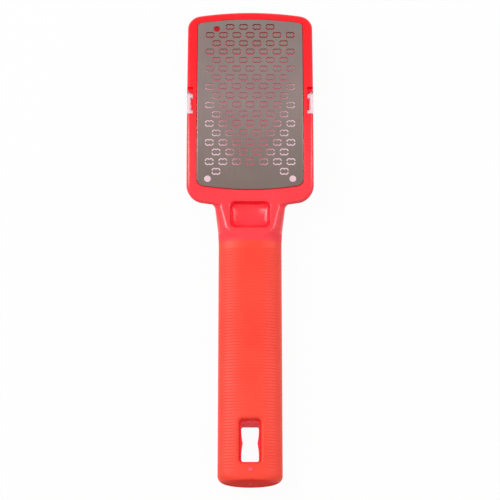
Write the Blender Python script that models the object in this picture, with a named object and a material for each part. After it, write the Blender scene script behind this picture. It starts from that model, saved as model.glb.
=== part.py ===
"""Callus remover: a curved stainless rasp on a plastic frame, with a soft grip and a shavings tray.

Metres, +Z up. The tool lies with its rasp up and its butt towards -Y. The origin is under the
middle of its length, on the plane that it rests on.
"""

import math

import bmesh
import bpy
from mathutils import Matrix, Vector

# Lengths along the tool, from its butt to its tip
GRIP_LENGTH = 0.1152
COLLAR_LENGTH = 0.0056
NECK_LENGTH = 0.0116
HEAD_LENGTH = 0.1008

# Whole tool
HEAD_WIDTH = 0.0604
DECK_HEIGHT = 0.0190
FIT_GAP = 0.0003
OVERRUN = 0.004

# Arc of the head, and how far its ends bow
RASP_RADIUS = 0.2345
LAST_ROW_SLOPE = math.radians(4.0)
END_BOW_RADIUS = 0.146

# Rasp plate, and the rim of the frame beside it
RIM_WIDTH = 0.0048
PLATE_THICKNESS = 0.0005
PLATE_PROUD = 0.00025
PLATE_END_MARGIN = 0.0080
PLATE_TIP_MARGIN = 0.0048
PLATE_END_CORNER = 0.0028
PLATE_TIP_CORNER = 0.0016
LAST_ROW_MARGIN = 0.00865
TIP_ROW_MARGIN = 0.0025
SIDE_COLUMN_MARGIN = 0.0025
ROW_PITCH = 0.00475
COLUMN_PITCH = 0.0065
SLIT_LENGTH = 0.0044
SLIT_WIDTH = 0.0006
SLIT_SPACING = 0.0025
SLIT_TURN = 0.0007
ROUND_HOLE_RADIUS = 0.0016
LOW_HOLE_FROM_SIDE = 0.0051
LOW_HOLE_FROM_ROW = 0.0036
TIP_HOLE_FROM_ROW = 0.0012

# Head of the frame
FRAME_WALL = 0.0030
FRAME_FLANGE = 0.0030
FRAME_DEPTH = 0.0080
FRAME_TIP_DEPTH = 0.0070
FRAME_DRAFT = 0.0018
FRAME_END_CORNER = 0.0070
FRAME_TIP_CORNER = 0.0058
EDGE_ROUND = 0.0013
LEAST_ROUND_SHARE = 0.02
SEAT_LEDGE = 0.0023

# Tray, and the clips that hold it
TRAY_CLEARANCE = 0.0004
TRAY_WALL = 0.0014
TRAY_FLOOR = 0.0015
TRAY_DRAFT = 0.0030
TRAY_END_DRAFT = 0.0060
TRAY_EDGE_ROUND = 0.0020
CLIP_FROM_END = 0.0448
CLIP_LENGTH = 0.0098
CLIP_GUSSET = 0.0022
CLIP_BAR = 0.0015
CLIP_PRONG = 0.0018
CLIP_SUNK = 0.0006
CLIP_DEPTH = 0.0085
CLIP_WEB = 0.0025
CLIP_PROUD = 0.0002
NOTCH_SPARE = 0.0016
NUB_SUNK = 0.0010

# Handle
GRIP_WIDTH = 0.0296
BUTT_WIDTH = 0.0300
BELLY_FROM_FRONT = 0.042
FRONT_RISE = 0.0014
BUTT_RISE = 0.0026
BUTT_DROP = 0.0026
BUTT_ROUND = 0.0027
BUTT_BOW_RADIUS = 0.110
GRIP_WALL = 0.0022
GRIP_END_WALL = 0.0026
COLLAR_WIDTH = 0.0302
NECK_WIDTH = 0.0337
NECK_TOP_WIDTH = 0.0290
NECK_FRONT_WIDTH = 0.0226
NECK_SINK = 0.00015
NECK_STATION_SHARES = (0.15, 0.5, 0.8, 1.0)

# Section across the handle: how wide its top and its flanks run, and how far its corners are rounded
TOP_SHARE = 0.5
FLANK_SHARE = 0.5
SWEPT_CORNER_SHARE = 0.5
RIDGE_CORNER_SHARE = 0.2

# Thumb pocket
POCKET_WIDTH = 0.0186
POCKET_FROM_COLLAR = 0.0003
POCKET_INTO_HEAD = 0.0015
POCKET_DEPTH = 0.0050
POCKET_BACK_DEPTH = 0.0018
POCKET_SLOPE = 0.0018
POCKET_CORNER = 0.0020

# Hang hole and locating pin
HOLE_FROM_BUTT = 0.0107
HOLE_LENGTH = 0.0190
HOLE_WIDTH = 0.0082
WAIST_WIDTH = 0.0067
WAIST_LENGTH = 0.0110
HOLE_CORNER = 0.0010
HOLE_LIP = 0.0008
LIP_CORNER = 0.0016
PIN_RADIUS = 0.00115
PIN_FROM_BUTT = 0.0067
PIN_SUNK = 0.0001

# Places worked out from the sizes
TIP_Y = (GRIP_LENGTH + COLLAR_LENGTH + NECK_LENGTH + HEAD_LENGTH) / 2
BUTT_Y = -TIP_Y
GRIP_FRONT_Y = BUTT_Y + GRIP_LENGTH
COLLAR_BACK_Y = GRIP_FRONT_Y + FIT_GAP
COLLAR_FRONT_Y = GRIP_FRONT_Y + COLLAR_LENGTH
HEAD_END_Y = COLLAR_FRONT_Y + NECK_LENGTH
NECK_FRONT_Y = HEAD_END_Y + (FRAME_DRAFT + FRAME_WALL) / 2
PLATE_WIDTH = HEAD_WIDTH - 2 * RIM_WIDTH
PLATE_END_Y = HEAD_END_Y + PLATE_END_MARGIN
PLATE_TIP_Y = TIP_Y - PLATE_TIP_MARGIN
LAST_ROW_Y = PLATE_END_Y + LAST_ROW_MARGIN
CREST_Y = LAST_ROW_Y + RASP_RADIUS * math.sin(LAST_ROW_SLOPE)
CREST_Z = DECK_HEIGHT + RASP_RADIUS * (1 - math.cos(LAST_ROW_SLOPE))
TRAY_HALF_WIDTH = HEAD_WIDTH / 2 - FRAME_WALL - TRAY_CLEARANCE
NOTCH_X = HEAD_WIDTH / 2 - FRAME_WALL - FIT_GAP
CLIP_BACK_Y = HEAD_END_Y + CLIP_FROM_END
CLIP_FRONT_Y = CLIP_BACK_Y + CLIP_LENGTH
CLIP_MIDDLE_Y = (CLIP_BACK_Y + CLIP_FRONT_Y) / 2
HOLE_BACK_Y = BUTT_Y + HOLE_FROM_BUTT
HOLE_FRONT_Y = HOLE_BACK_Y + HOLE_LENGTH
PIN_Y = BUTT_Y + PIN_FROM_BUTT

# How finely round stretches are drawn
END_STEPS = 4
CORNER_STEPS = 5
SIDE_STEPS = 12
EDGE_STEPS = 2
SECTION_STEPS = 4
GRIP_STEPS = 8
BUTT_STEPS = 3
WAIST_STEPS = 8
ROUND_SIDES = 16


def clear_scene():
    for obj in list(bpy.data.objects):
        bpy.data.objects.remove(obj, do_unlink=True)


def new_collection(name):
    collection = bpy.data.collections.new(name)
    bpy.context.scene.collection.children.link(collection)
    return collection


def plastic(name, color, roughness, metallic=0.0, transmission=0.0):
    material = bpy.data.materials.new(name)
    material.use_nodes = True
    shader = material.node_tree.nodes["Principled BSDF"]
    shader.inputs["Base Color"].default_value = (*color, 1.0)
    shader.inputs["Roughness"].default_value = roughness
    shader.inputs["Metallic"].default_value = metallic
    shader.inputs["Transmission Weight"].default_value = transmission
    return material


def add_part(name, mesh, collection, material):
    part = bpy.data.objects.new(name, mesh)
    collection.objects.link(part)
    mesh.materials.append(material)
    mesh.shade_smooth()
    mesh.set_sharp_from_angle(angle=math.radians(35))
    return part


def add_helper(mesh, collection):
    """An object that cuts or joins others, named for its mesh and left out of renders."""
    helper = bpy.data.objects.new(mesh.name, mesh)
    collection.objects.link(helper)
    helper.hide_render = True
    helper.display_type = "WIRE"
    return helper


def boolean(target, helper, operation):
    modifier = target.modifiers.new(f"{operation.lower()}_{helper.name}", "BOOLEAN")
    modifier.operation = operation
    modifier.object = helper
    modifier.solver = "EXACT"


def finished(shape, name):
    bmesh.ops.recalc_face_normals(shape, faces=shape.faces)
    mesh = bpy.data.meshes.new(name)
    shape.to_mesh(mesh)
    shape.free()
    return mesh


def loft(name, rings, closed=False):
    """A mesh through rings of equal count. It is capped at both ends, or joined end to end."""
    shape = bmesh.new()
    rows = [[shape.verts.new(point) for point in ring] for ring in rings]
    pairs = list(zip(rows, rows[1:]))
    if closed:
        pairs.append((rows[-1], rows[0]))
    for low, high in pairs:
        for i in range(len(low)):
            j = (i + 1) % len(low)
            shape.faces.new((low[i], low[j], high[j], high[i]))
    if not closed:
        shape.faces.new(rows[0])
        shape.faces.new(rows[-1])
    return finished(shape, name)


def prisms(name, outlines, low, high):
    """Flat outlines, each extruded from one height to another."""
    shape = bmesh.new()
    for outline in outlines:
        face = shape.faces.new([shape.verts.new((x, y, low)) for x, y in outline])
        raised = bmesh.ops.extrude_face_region(shape, geom=[face])["geom"]
        top = [item for item in raised if isinstance(item, bmesh.types.BMVert)]
        bmesh.ops.translate(shape, verts=top, vec=(0, 0, high - low))
    return finished(shape, name)


def box(name, x_range, y_range, z_range):
    low, high = Vector((x_range[0], y_range[0], z_range[0])), Vector((x_range[1], y_range[1], z_range[1]))
    place = Matrix.Translation((low + high) / 2) @ Matrix.Diagonal(high - low).to_4x4()
    shape = bmesh.new()
    bmesh.ops.create_cube(shape, size=1, matrix=place)
    return finished(shape, name)


def pin(name, radius, low, high):
    """An upright round pin near the butt."""
    place = Matrix.Translation((0, PIN_Y, (low + high) / 2))
    ends = {"radius1": radius, "radius2": radius, "depth": high - low}
    shape = bmesh.new()
    bmesh.ops.create_cone(shape, cap_ends=True, segments=ROUND_SIDES, matrix=place, **ends)
    return finished(shape, name)


def sagitta(distance, radius):
    return radius - math.sqrt(radius * radius - distance * distance)


def steps(start, end, count):
    """count values from start towards end, leaving out the end."""
    return [start + (end - start) * i / count for i in range(count)]


def quarter_turn(count):
    return steps(0, math.pi / 2, count) + [math.pi / 2]


def smooth(share):
    return share * share * (3 - 2 * share)


def circle(center_x, center_y, radius):
    angles = steps(0, 2 * math.pi, ROUND_SIDES)
    return [(center_x + radius * math.cos(a), center_y + radius * math.sin(a)) for a in angles]


def corner_arc(center_x, center_y, radius, start_angle):
    angles = steps(start_angle, start_angle + math.pi / 2, CORNER_STEPS)
    return [(center_x + radius * math.cos(a), center_y + radius * math.sin(a)) for a in angles]


def mirrored(half):
    """The closed outline of a half that runs up the +X side, from the axis to the axis."""
    return half + [(-x, y) for x, y in reversed(half[1:-1])]


def head_outline(half_width, end_y, tip_y, end_corner, tip_corner):
    """A rounded rectangle whose ends bow outwards."""
    corner_bow = sagitta(half_width, END_BOW_RADIUS)
    low = end_y + end_corner
    high = tip_y - tip_corner
    half = [(x, end_y) for x in steps(0, half_width - end_corner, END_STEPS)]
    half += corner_arc(half_width - end_corner, low, end_corner, -math.pi / 2)
    half = [(x, y + sagitta(x, END_BOW_RADIUS)) for x, y in half]
    half += [(half_width, y) for y in steps(low + corner_bow, high - corner_bow, SIDE_STEPS)]
    tip = corner_arc(half_width - tip_corner, high, tip_corner, 0)
    tip += [(x, tip_y) for x in steps(half_width - tip_corner, 0, END_STEPS)] + [(0, tip_y)]
    half += [(x, y - sagitta(x, END_BOW_RADIUS)) for x, y in tip]
    return mirrored(half)


def frame_outline(inset):
    corners = (FRAME_END_CORNER - inset, FRAME_TIP_CORNER - inset)
    return head_outline(HEAD_WIDTH / 2 - inset, HEAD_END_Y + inset, TIP_Y - inset, *corners)


def plate_outline(grow):
    """The plate's outline in plan, grown all round."""
    half_width = PLATE_WIDTH / 2 + grow
    corners = (PLATE_END_CORNER + grow, PLATE_TIP_CORNER + grow)
    return head_outline(half_width, PLATE_END_Y - grow, PLATE_TIP_Y + grow, *corners)


def window_outline():
    half_width = PLATE_WIDTH / 2 - SEAT_LEDGE
    corner = PLATE_END_CORNER
    return head_outline(half_width, PLATE_END_Y + SEAT_LEDGE, PLATE_TIP_Y - SEAT_LEDGE, corner, corner)


def rasp_top(y):
    """Height of the rasp's top over a place along the tool."""
    return CREST_Z - sagitta(y - CREST_Y, RASP_RADIUS)


def rim_top(y):
    return rasp_top(y) - PLATE_PROUD


def frame_underside(y):
    share = (y - HEAD_END_Y) / HEAD_LENGTH
    return rim_top(y) - FRAME_DEPTH - (FRAME_TIP_DEPTH - FRAME_DEPTH) * share


def at_height(outline, height):
    return [(x, y, height) for x, y in outline]


def under_rim(outline, depth):
    return [(x, y, rim_top(y) - depth) for x, y in outline]


def at_underside(outline):
    return [(x, y, frame_underside(y)) for x, y in outline]


def edge_round_at(x, y):
    """The rim's rounding, which fades out where the neck runs into the head."""
    if y > HEAD_END_Y + FRAME_END_CORNER:
        return EDGE_ROUND
    share = (abs(x) - NECK_TOP_WIDTH / 2) / (NECK_WIDTH / 2 - NECK_TOP_WIDTH / 2)
    return EDGE_ROUND * min(max(share, LEAST_ROUND_SHARE), 1)


def rim_ring(angle):
    """The frame's outer edge, part of the way over the rounding of its rim."""
    ring = []
    for (x, y), (inner_x, inner_y) in zip(frame_outline(0), frame_outline(EDGE_ROUND)):
        size = edge_round_at(x, y)
        share = (1 - math.cos(angle)) * size / EDGE_ROUND
        place = (x + (inner_x - x) * share, y + (inner_y - y) * share)
        ring.append((*place, rim_top(place[1]) - size * (1 - math.sin(angle))))
    return ring


def head_ring():
    """The head: a skirt, drawn in towards its foot, under a flange with the plate's seat and a window."""
    seat_depth = PLATE_THICKNESS + FIT_GAP - PLATE_PROUD
    pocket = plate_outline(FIT_GAP)
    window = window_outline()
    skirt = frame_outline(FRAME_WALL)
    rings = [at_underside(frame_outline(FRAME_DRAFT))]
    rings += [rim_ring(angle) for angle in quarter_turn(EDGE_STEPS)]
    rings += [under_rim(pocket, 0), under_rim(pocket, seat_depth), under_rim(window, seat_depth)]
    rings += [under_rim(window, FRAME_FLANGE), under_rim(skirt, FRAME_FLANGE), at_underside(skirt)]
    return loft("frame", rings, closed=True)


def section(y, width, top, bottom, top_width, shoulder_share=SWEPT_CORNER_SHARE, shrink=0.0):
    """A ring across the handle: eight corners, each rounded over a share of the sides that meet there."""
    half_width = width / 2 - shrink
    high = top - shrink
    low = bottom + shrink
    middle = (high + low) / 2
    flank = FLANK_SHARE * (high - low) / 2
    top_half = top_width / width * half_width
    corners = [(top_half, high, shoulder_share)]
    corners += [(half_width, z, SWEPT_CORNER_SHARE) for z in (middle + flank, middle - flank)]
    corners += [(top_half, low, SWEPT_CORNER_SHARE)]
    corners += [(-x, z, share) for x, z, share in reversed(corners)]
    ring = []
    for i, (x, z, share) in enumerate(corners):
        before = Vector(corners[i - 1][:2])
        after = Vector(corners[(i + 1) % len(corners)][:2])
        here = Vector((x, z))
        start = here.lerp(before, share)
        end = here.lerp(after, share)
        for t in steps(0, 1, SECTION_STEPS):
            point = start.lerp(here, t).lerp(here.lerp(end, t), t)
            ring.append((point.x, y, point.y))
    return ring


def handle_place(y):
    """Width, top and bottom of the grip over a place along it. It rests on its belly."""
    share = (GRIP_FRONT_Y - y) / GRIP_LENGTH
    width = GRIP_WIDTH + (BUTT_WIDTH - GRIP_WIDTH) * share
    belly_share = BELLY_FROM_FRONT / GRIP_LENGTH
    if share < belly_share:
        bottom = FRONT_RISE * (1 - share / belly_share) ** 2
    else:
        bottom = BUTT_RISE * ((share - belly_share) / (1 - belly_share)) ** 2
    return width, DECK_HEIGHT - BUTT_DROP * share * share, bottom


def grip_section(y, shrink):
    width, top, bottom = handle_place(y)
    return section(y, width, top, bottom, width * TOP_SHARE, shrink=shrink)


def grip_rings(shrink, end_y, front_y):
    """The grip or its core: a slightly bowed end face with a rounded edge, and a square cut front."""
    rings = []
    for angle in quarter_turn(BUTT_STEPS):
        y = end_y + BUTT_ROUND * (1 - math.cos(angle))
        ring = grip_section(y, shrink + BUTT_ROUND * (1 - math.sin(angle)))
        rings.append([(x, y + sagitta(x, BUTT_BOW_RADIUS), z) for x, y, z in ring])
    stations = steps(end_y + BUTT_ROUND, front_y, GRIP_STEPS)[1:] + [front_y]
    return rings + [grip_section(y, shrink) for y in stations]


def neck_top(y):
    """The neck's top runs down from the collar to the head's rim, and ends just under it."""
    share = (y - COLLAR_FRONT_Y) / (NECK_FRONT_Y - COLLAR_FRONT_Y)
    head_top = rim_top(max(y, HEAD_END_Y)) - NECK_SINK
    return DECK_HEIGHT + (head_top - DECK_HEIGHT) * share


def neck_rings():
    """The collar and the neck, up to inside the head's skirt."""
    head_bottom = neck_top(NECK_FRONT_Y) - FRAME_DEPTH + FIT_GAP
    rings = []
    for y, width in ((COLLAR_BACK_Y, GRIP_WIDTH), (COLLAR_FRONT_Y, COLLAR_WIDTH)):
        rings.append(section(y, width, DECK_HEIGHT, FRONT_RISE, width * TOP_SHARE))
    for share in NECK_STATION_SHARES:
        y = COLLAR_FRONT_Y + (NECK_FRONT_Y - COLLAR_FRONT_Y) * share
        bottom = FRONT_RISE + (head_bottom - FRONT_RISE) * smooth(share)
        width = COLLAR_WIDTH + (NECK_WIDTH - COLLAR_WIDTH) * share
        top_width = NECK_FRONT_WIDTH + (NECK_TOP_WIDTH - NECK_FRONT_WIDTH) * share
        rings.append(section(y, width, neck_top(y), bottom, top_width, RIDGE_CORNER_SHARE))
    return rings


def slot(half_width, low, high, corner, side=()):
    """A rounded rectangle on the axis, with any points of its own up its side."""
    half = [(0, low)] + corner_arc(half_width - corner, low + corner, corner, -math.pi / 2) + list(side)
    half += corner_arc(half_width - corner, high - corner, corner, 0)
    half += [(half_width - corner, high), (0, high)]
    return mirrored(half)


def hang_hole_outline():
    """An hourglass: a slot that is drawn in at the middle of its length."""
    middle = (HOLE_BACK_Y + HOLE_FRONT_Y) / 2
    side = []
    for share in steps(-1, 1, WAIST_STEPS) + [1]:
        width = WAIST_WIDTH + (HOLE_WIDTH - WAIST_WIDTH) * smooth(abs(share))
        side.append((width / 2, middle + share * WAIST_LENGTH / 2))
    return slot(HOLE_WIDTH / 2, HOLE_BACK_Y, HOLE_FRONT_Y, HOLE_CORNER, side)


def pocket_hollow():
    """The thumb pocket's hollow: a rounded rectangle with sloped sides, deepest at the head."""
    low = COLLAR_FRONT_Y + POCKET_FROM_COLLAR
    high = HEAD_END_Y + POCKET_INTO_HEAD
    brim = slot(POCKET_WIDTH / 2, low, high, POCKET_CORNER)
    floor = slot(POCKET_WIDTH / 2 - POCKET_SLOPE, low + POCKET_SLOPE, high - POCKET_SLOPE, POCKET_CORNER)
    fall = (POCKET_DEPTH - POCKET_BACK_DEPTH) / (high - low)
    rings = [[(x, y, DECK_HEIGHT - POCKET_BACK_DEPTH - fall * (y - low)) for x, y in floor]]
    rings += [at_height(brim, neck_top(high)), at_height(brim, DECK_HEIGHT + OVERRUN)]
    return loft("cut_pocket", rings)


def clip_heights():
    """Top and foot of the tray's clips."""
    level = rim_top(CLIP_MIDDLE_Y)
    return level - CLIP_SUNK, level - CLIP_DEPTH


def clip_outline(side):
    """A clip in plan: an outer bar, two prongs that reach inwards, and a gusset behind the front one."""
    outer = HEAD_WIDTH / 2 + CLIP_PROUD
    inner = outer - CLIP_BAR
    reach = NOTCH_X + FIT_GAP
    back, front = CLIP_BACK_Y, CLIP_FRONT_Y
    points = [(outer, back), (outer, front + CLIP_GUSSET), (reach + CLIP_BAR / 2, front), (reach, front)]
    points += [(reach, front - CLIP_PRONG), (inner, front - CLIP_PRONG), (inner, back + CLIP_PRONG)]
    points += [(reach, back + CLIP_PRONG), (reach, back)]
    return [(side * x, y) for x, y in points]


def across(side, inner, outer):
    """The range in X from one distance off the axis to another, on one side."""
    return sorted((side * inner, side * outer))


def notch(side, name):
    """The gap in the skirt and the rim that a clip comes up through."""
    along = (CLIP_BACK_Y - FIT_GAP, CLIP_FRONT_Y + CLIP_GUSSET + NOTCH_SPARE)
    out = across(side, NOTCH_X, HEAD_WIDTH / 2 + OVERRUN)
    return box(f"cut_notch_{name}", out, along, (-OVERRUN, DECK_HEIGHT + OVERRUN))


def catch_nub(side, name):
    """The nub that a clip's prongs straddle."""
    level = rim_top(CLIP_MIDDLE_Y)
    along = (CLIP_BACK_Y + CLIP_PRONG + FIT_GAP, CLIP_FRONT_Y - CLIP_PRONG - FIT_GAP)
    out = across(side, NOTCH_X - FIT_GAP, HEAD_WIDTH / 2 + CLIP_PROUD - CLIP_BAR - FIT_GAP)
    return box(f"join_nub_{name}", out, along, (level - FRAME_FLANGE + FIT_GAP, level - NUB_SUNK))


def make_frame(parts, helpers):
    frame = add_part("frame", head_ring(), parts, plastic("red_plastic", (0.95, 0.05, 0.06), 0.35))
    core_end = BUTT_Y + GRIP_END_WALL + FIT_GAP
    core = loft("join_core", grip_rings(GRIP_WALL, core_end, COLLAR_BACK_Y) + neck_rings())
    boolean(frame, add_helper(core, helpers), "UNION")
    boolean(frame, add_helper(pocket_hollow(), helpers), "DIFFERENCE")
    for side, name in ((-1, "left"), (1, "right")):
        boolean(frame, add_helper(notch(side, name), helpers), "DIFFERENCE")
        boolean(frame, add_helper(catch_nub(side, name), helpers), "UNION")
    hang_hole = prisms("cut_hang_hole", [hang_hole_outline()], -OVERRUN, DECK_HEIGHT + OVERRUN)
    boolean(frame, add_helper(hang_hole, helpers), "DIFFERENCE")
    _, top, bottom = handle_place(PIN_Y)
    locating_pin = pin("join_pin", PIN_RADIUS, (top + bottom) / 2, top - PIN_SUNK)
    boolean(frame, add_helper(locating_pin, helpers), "UNION")


def make_grip(parts, helpers):
    """The soft sleeve: open at the front, round the hang hole and round the locating pin."""
    sleeve = loft("grip", grip_rings(0, BUTT_Y, GRIP_FRONT_Y))
    grip = add_part("grip", sleeve, parts, plastic("soft_red", (0.90, 0.06, 0.04), 0.6))
    core = grip_rings(GRIP_WALL - FIT_GAP, BUTT_Y + GRIP_END_WALL, GRIP_FRONT_Y + OVERRUN)
    boolean(grip, add_helper(loft("cut_core", core), helpers), "DIFFERENCE")
    low, high = HOLE_BACK_Y - HOLE_LIP / 2, HOLE_FRONT_Y + HOLE_LIP / 2
    opening = slot(HOLE_WIDTH / 2 + HOLE_LIP, low, high, LIP_CORNER)
    opening = prisms("cut_opening", [opening], -OVERRUN, DECK_HEIGHT + OVERRUN)
    boolean(grip, add_helper(opening, helpers), "DIFFERENCE")
    pin_hole = pin("cut_pin", PIN_RADIUS + FIT_GAP, DECK_HEIGHT / 2, DECK_HEIGHT + OVERRUN)
    boolean(grip, add_helper(pin_hole, helpers), "DIFFERENCE")


def along_arc(y):
    """Distance from the last row, measured over the arc."""
    return RASP_RADIUS * (math.asin((y - CREST_Y) / RASP_RADIUS) + LAST_ROW_SLOPE)


def bent(x, s, height):
    """Where a point of the flat sheet lies once it is bent to the arc."""
    angle = s / RASP_RADIUS - LAST_ROW_SLOPE
    radius = RASP_RADIUS + height
    return (x, CREST_Y + radius * math.sin(angle), CREST_Z - RASP_RADIUS + radius * math.cos(angle))


def slit_outline(x, s, side):
    """One slit, a shallow bracket that turns in towards its pair at both ends."""
    half = SLIT_LENGTH / 2
    wide = SLIT_WIDTH / 2
    turn = SLIT_TURN
    middle = s + side * SLIT_SPACING / 2
    spine = [(-half, -turn), (-half + turn, 0), (half - turn, 0), (half, -turn)]
    outer = [(x + u, middle + side * (v + wide)) for u, v in spine]
    inner = [(x + u * (1 - wide / half), middle + side * (v - wide)) for u, v in reversed(spine)]
    return outer + inner


def plate_openings():
    """Outlines on the flat sheet of the teeth's slits and of the round locating holes.

    The last row keeps only its outermost teeth. The row at the tip leaves those two out, and a
    locating hole lies near the place of one of them.
    """
    rows = int((along_arc(PLATE_TIP_Y) - TIP_ROW_MARGIN) / ROW_PITCH) + 1
    side_columns = int((PLATE_WIDTH / 2 - SIDE_COLUMN_MARGIN - SLIT_LENGTH / 2) / COLUMN_PITCH)
    outlines = []
    for row in range(rows):
        if row % 2:
            columns = list(range(-side_columns, side_columns + 1))
        else:
            columns = [k + 0.5 for k in range(-side_columns, side_columns)]
        if row == 0:
            columns = [columns[0], columns[-1]]
        if row == rows - 1:
            columns = columns[1:-1]
        for k in columns:
            outlines += [slit_outline(k * COLUMN_PITCH, row * ROW_PITCH, side) for side in (-1, 1)]
    low_x = PLATE_WIDTH / 2 - LOW_HOLE_FROM_SIDE
    outlines += [circle(x, -LOW_HOLE_FROM_ROW, ROUND_HOLE_RADIUS) for x in (-low_x, low_x)]
    tip_x = -(side_columns - 0.5) * COLUMN_PITCH
    outlines.append(circle(tip_x, (rows - 1) * ROW_PITCH - TIP_HOLE_FROM_ROW, ROUND_HOLE_RADIUS))
    return outlines


def sheet_between_rows():
    """The flat sheet, split between its rows so that it bends there."""
    outline = [(x, along_arc(y)) for x, y in plate_outline(0)]
    mesh = prisms("flat_sheet", [outline], -PLATE_THICKNESS, 0)
    shape = bmesh.new()
    shape.from_mesh(mesh)
    place = -ROW_PITCH / 2
    while place < along_arc(PLATE_TIP_Y):
        geometry = shape.verts[:] + shape.edges[:] + shape.faces[:]
        bmesh.ops.bisect_plane(shape, geom=geometry, plane_co=(0, place, 0), plane_no=(0, 1, 0))
        place += ROW_PITCH
    shape.to_mesh(mesh)
    shape.free()
    return mesh


def make_rasp_plate(parts, helpers):
    """The sheet is cut flat, as on the real tool, and then bent to the arc."""
    sheet = add_helper(sheet_between_rows(), helpers)
    openings = prisms("cut_openings", plate_openings(), -PLATE_THICKNESS - OVERRUN, OVERRUN)
    boolean(sheet, add_helper(openings, helpers), "DIFFERENCE")
    graph = bpy.context.evaluated_depsgraph_get()
    plate = bpy.data.meshes.new_from_object(sheet.evaluated_get(graph))
    plate.name = "rasp_plate"
    for vertex in plate.vertices:
        vertex.co = bent(*vertex.co)
    add_part("rasp_plate", plate, parts, plastic("steel", (0.55, 0.50, 0.47), 0.3, metallic=1.0))


def tray_outline(inset, end_inset):
    """The tray in plan, drawn in from its rim: all round, and more at the handle's end."""
    margin = FRAME_WALL + TRAY_CLEARANCE
    corners = (FRAME_END_CORNER - margin, FRAME_TIP_CORNER - margin)
    end_y = HEAD_END_Y + margin + end_inset
    return head_outline(TRAY_HALF_WIDTH - inset, end_y, TIP_Y - margin - inset, *corners)


def tray_cup():
    """A cup under the plate: straight walls inside the frame's skirt, then drafted to a flat floor."""
    rings = []
    for angle in quarter_turn(EDGE_STEPS):
        inset = TRAY_EDGE_ROUND * (1 - math.sin(angle))
        outline = tray_outline(TRAY_DRAFT + inset, TRAY_END_DRAFT + inset)
        rings.append(at_height(outline, TRAY_EDGE_ROUND * (1 - math.cos(angle))))
    outer = tray_outline(0, 0)
    inner = tray_outline(TRAY_WALL, TRAY_WALL)
    mouth_depth = FRAME_FLANGE + FIT_GAP
    rings += [at_underside(outer), under_rim(outer, mouth_depth)]
    rings += [under_rim(inner, mouth_depth), at_underside(inner)]
    wall_foot = tray_outline(TRAY_DRAFT + TRAY_WALL, TRAY_END_DRAFT + TRAY_WALL)
    rings.append(at_height(wall_foot, TRAY_FLOOR + TRAY_EDGE_ROUND / 2))
    floor = tray_outline(TRAY_DRAFT + 2 * TRAY_WALL, TRAY_END_DRAFT + 2 * TRAY_WALL)
    rings.append(at_height(floor, TRAY_FLOOR))
    return loft("shavings_tray", rings)


def make_tray(parts, helpers):
    clear = plastic("clear_plastic", (0.95, 0.90, 0.89), 0.15, transmission=0.8)
    tray = add_part("shavings_tray", tray_cup(), parts, clear)
    top, foot = clip_heights()
    for side, name in ((-1, "left"), (1, "right")):
        clip = prisms(f"join_clip_{name}", [clip_outline(side)], foot, top)
        boolean(tray, add_helper(clip, helpers), "UNION")
        out = across(side, TRAY_HALF_WIDTH - TRAY_WALL / 2, HEAD_WIDTH / 2 - CLIP_BAR / 2)
        web = box(f"join_web_{name}", out, (CLIP_BACK_Y, CLIP_FRONT_Y), (foot, foot + CLIP_WEB))
        boolean(tray, add_helper(web, helpers), "UNION")


def main():
    clear_scene()
    parts = new_collection("callus_remover")
    helpers = new_collection("cutters")
    make_frame(parts, helpers)
    make_rasp_plate(parts, helpers)
    make_grip(parts, helpers)
    make_tray(parts, helpers)


main()
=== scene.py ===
# %% [markdown]
# # A hand rasp for hard skin
# The tool has four pieces: one red moulding with a head, a neck and a core inside the handle; a
# curved sheet of steel with rows of slit teeth; a soft ribbed sleeve over the handle; and a rosy,
# see-through tray that clips on behind the sheet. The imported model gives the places, and each cell
# below makes one piece or one finish of the visible tool.

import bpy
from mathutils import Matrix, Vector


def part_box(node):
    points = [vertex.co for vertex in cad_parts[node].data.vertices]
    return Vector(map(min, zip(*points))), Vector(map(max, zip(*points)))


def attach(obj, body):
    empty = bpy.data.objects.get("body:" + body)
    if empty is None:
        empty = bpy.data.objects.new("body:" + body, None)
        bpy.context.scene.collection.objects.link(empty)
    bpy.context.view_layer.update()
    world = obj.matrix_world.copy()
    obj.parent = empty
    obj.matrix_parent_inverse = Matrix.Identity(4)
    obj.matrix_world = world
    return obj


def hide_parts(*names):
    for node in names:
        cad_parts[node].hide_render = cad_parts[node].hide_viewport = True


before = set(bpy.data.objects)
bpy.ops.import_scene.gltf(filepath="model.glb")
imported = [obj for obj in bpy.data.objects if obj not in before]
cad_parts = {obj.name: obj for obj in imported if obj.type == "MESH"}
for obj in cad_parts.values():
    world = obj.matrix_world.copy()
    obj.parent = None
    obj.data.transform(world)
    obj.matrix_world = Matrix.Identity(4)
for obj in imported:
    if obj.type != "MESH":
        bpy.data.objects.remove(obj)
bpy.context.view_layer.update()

# %% The modules, and the units
import math
from contextlib import contextmanager

import bmesh
import bpy
from mathutils import Vector

MM = 0.001

# %% [markdown]
# ## Camera
# The photograph looks down on the tool from the handle's side, a little off the vertical. A long
# lens from about a metre away keeps the sides of the handle parallel, as they are in the picture.

# %% Camera
CAMERA_RISE = math.radians(76)
CAMERA_DISTANCE = 0.96375
CAMERA_TARGET = Vector((-0.05, -6.2, 19.0)) * MM
CAMERA_LENS = 147.2
CAMERA_NEAR = 0.01
SENSOR_WIDTH = 36


def new_object(name, data):
    made = bpy.data.objects.new(name, data)
    bpy.context.scene.collection.objects.link(made)
    return made


camera = new_object("camera", bpy.data.cameras.new("camera"))
camera.data.lens = CAMERA_LENS
camera.data.sensor_width = SENSOR_WIDTH
camera.data.clip_start = CAMERA_NEAR
towards_camera = Vector((0, -math.cos(CAMERA_RISE), math.sin(CAMERA_RISE)))
camera.location = CAMERA_TARGET + CAMERA_DISTANCE * towards_camera
camera.rotation_euler = (math.pi / 2 - CAMERA_RISE, 0, 0)
bpy.context.scene.camera = camera
bpy.context.scene.view_settings.view_transform = "Standard"
print("camera at", tuple(round(value, 4) for value in camera.location))

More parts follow.
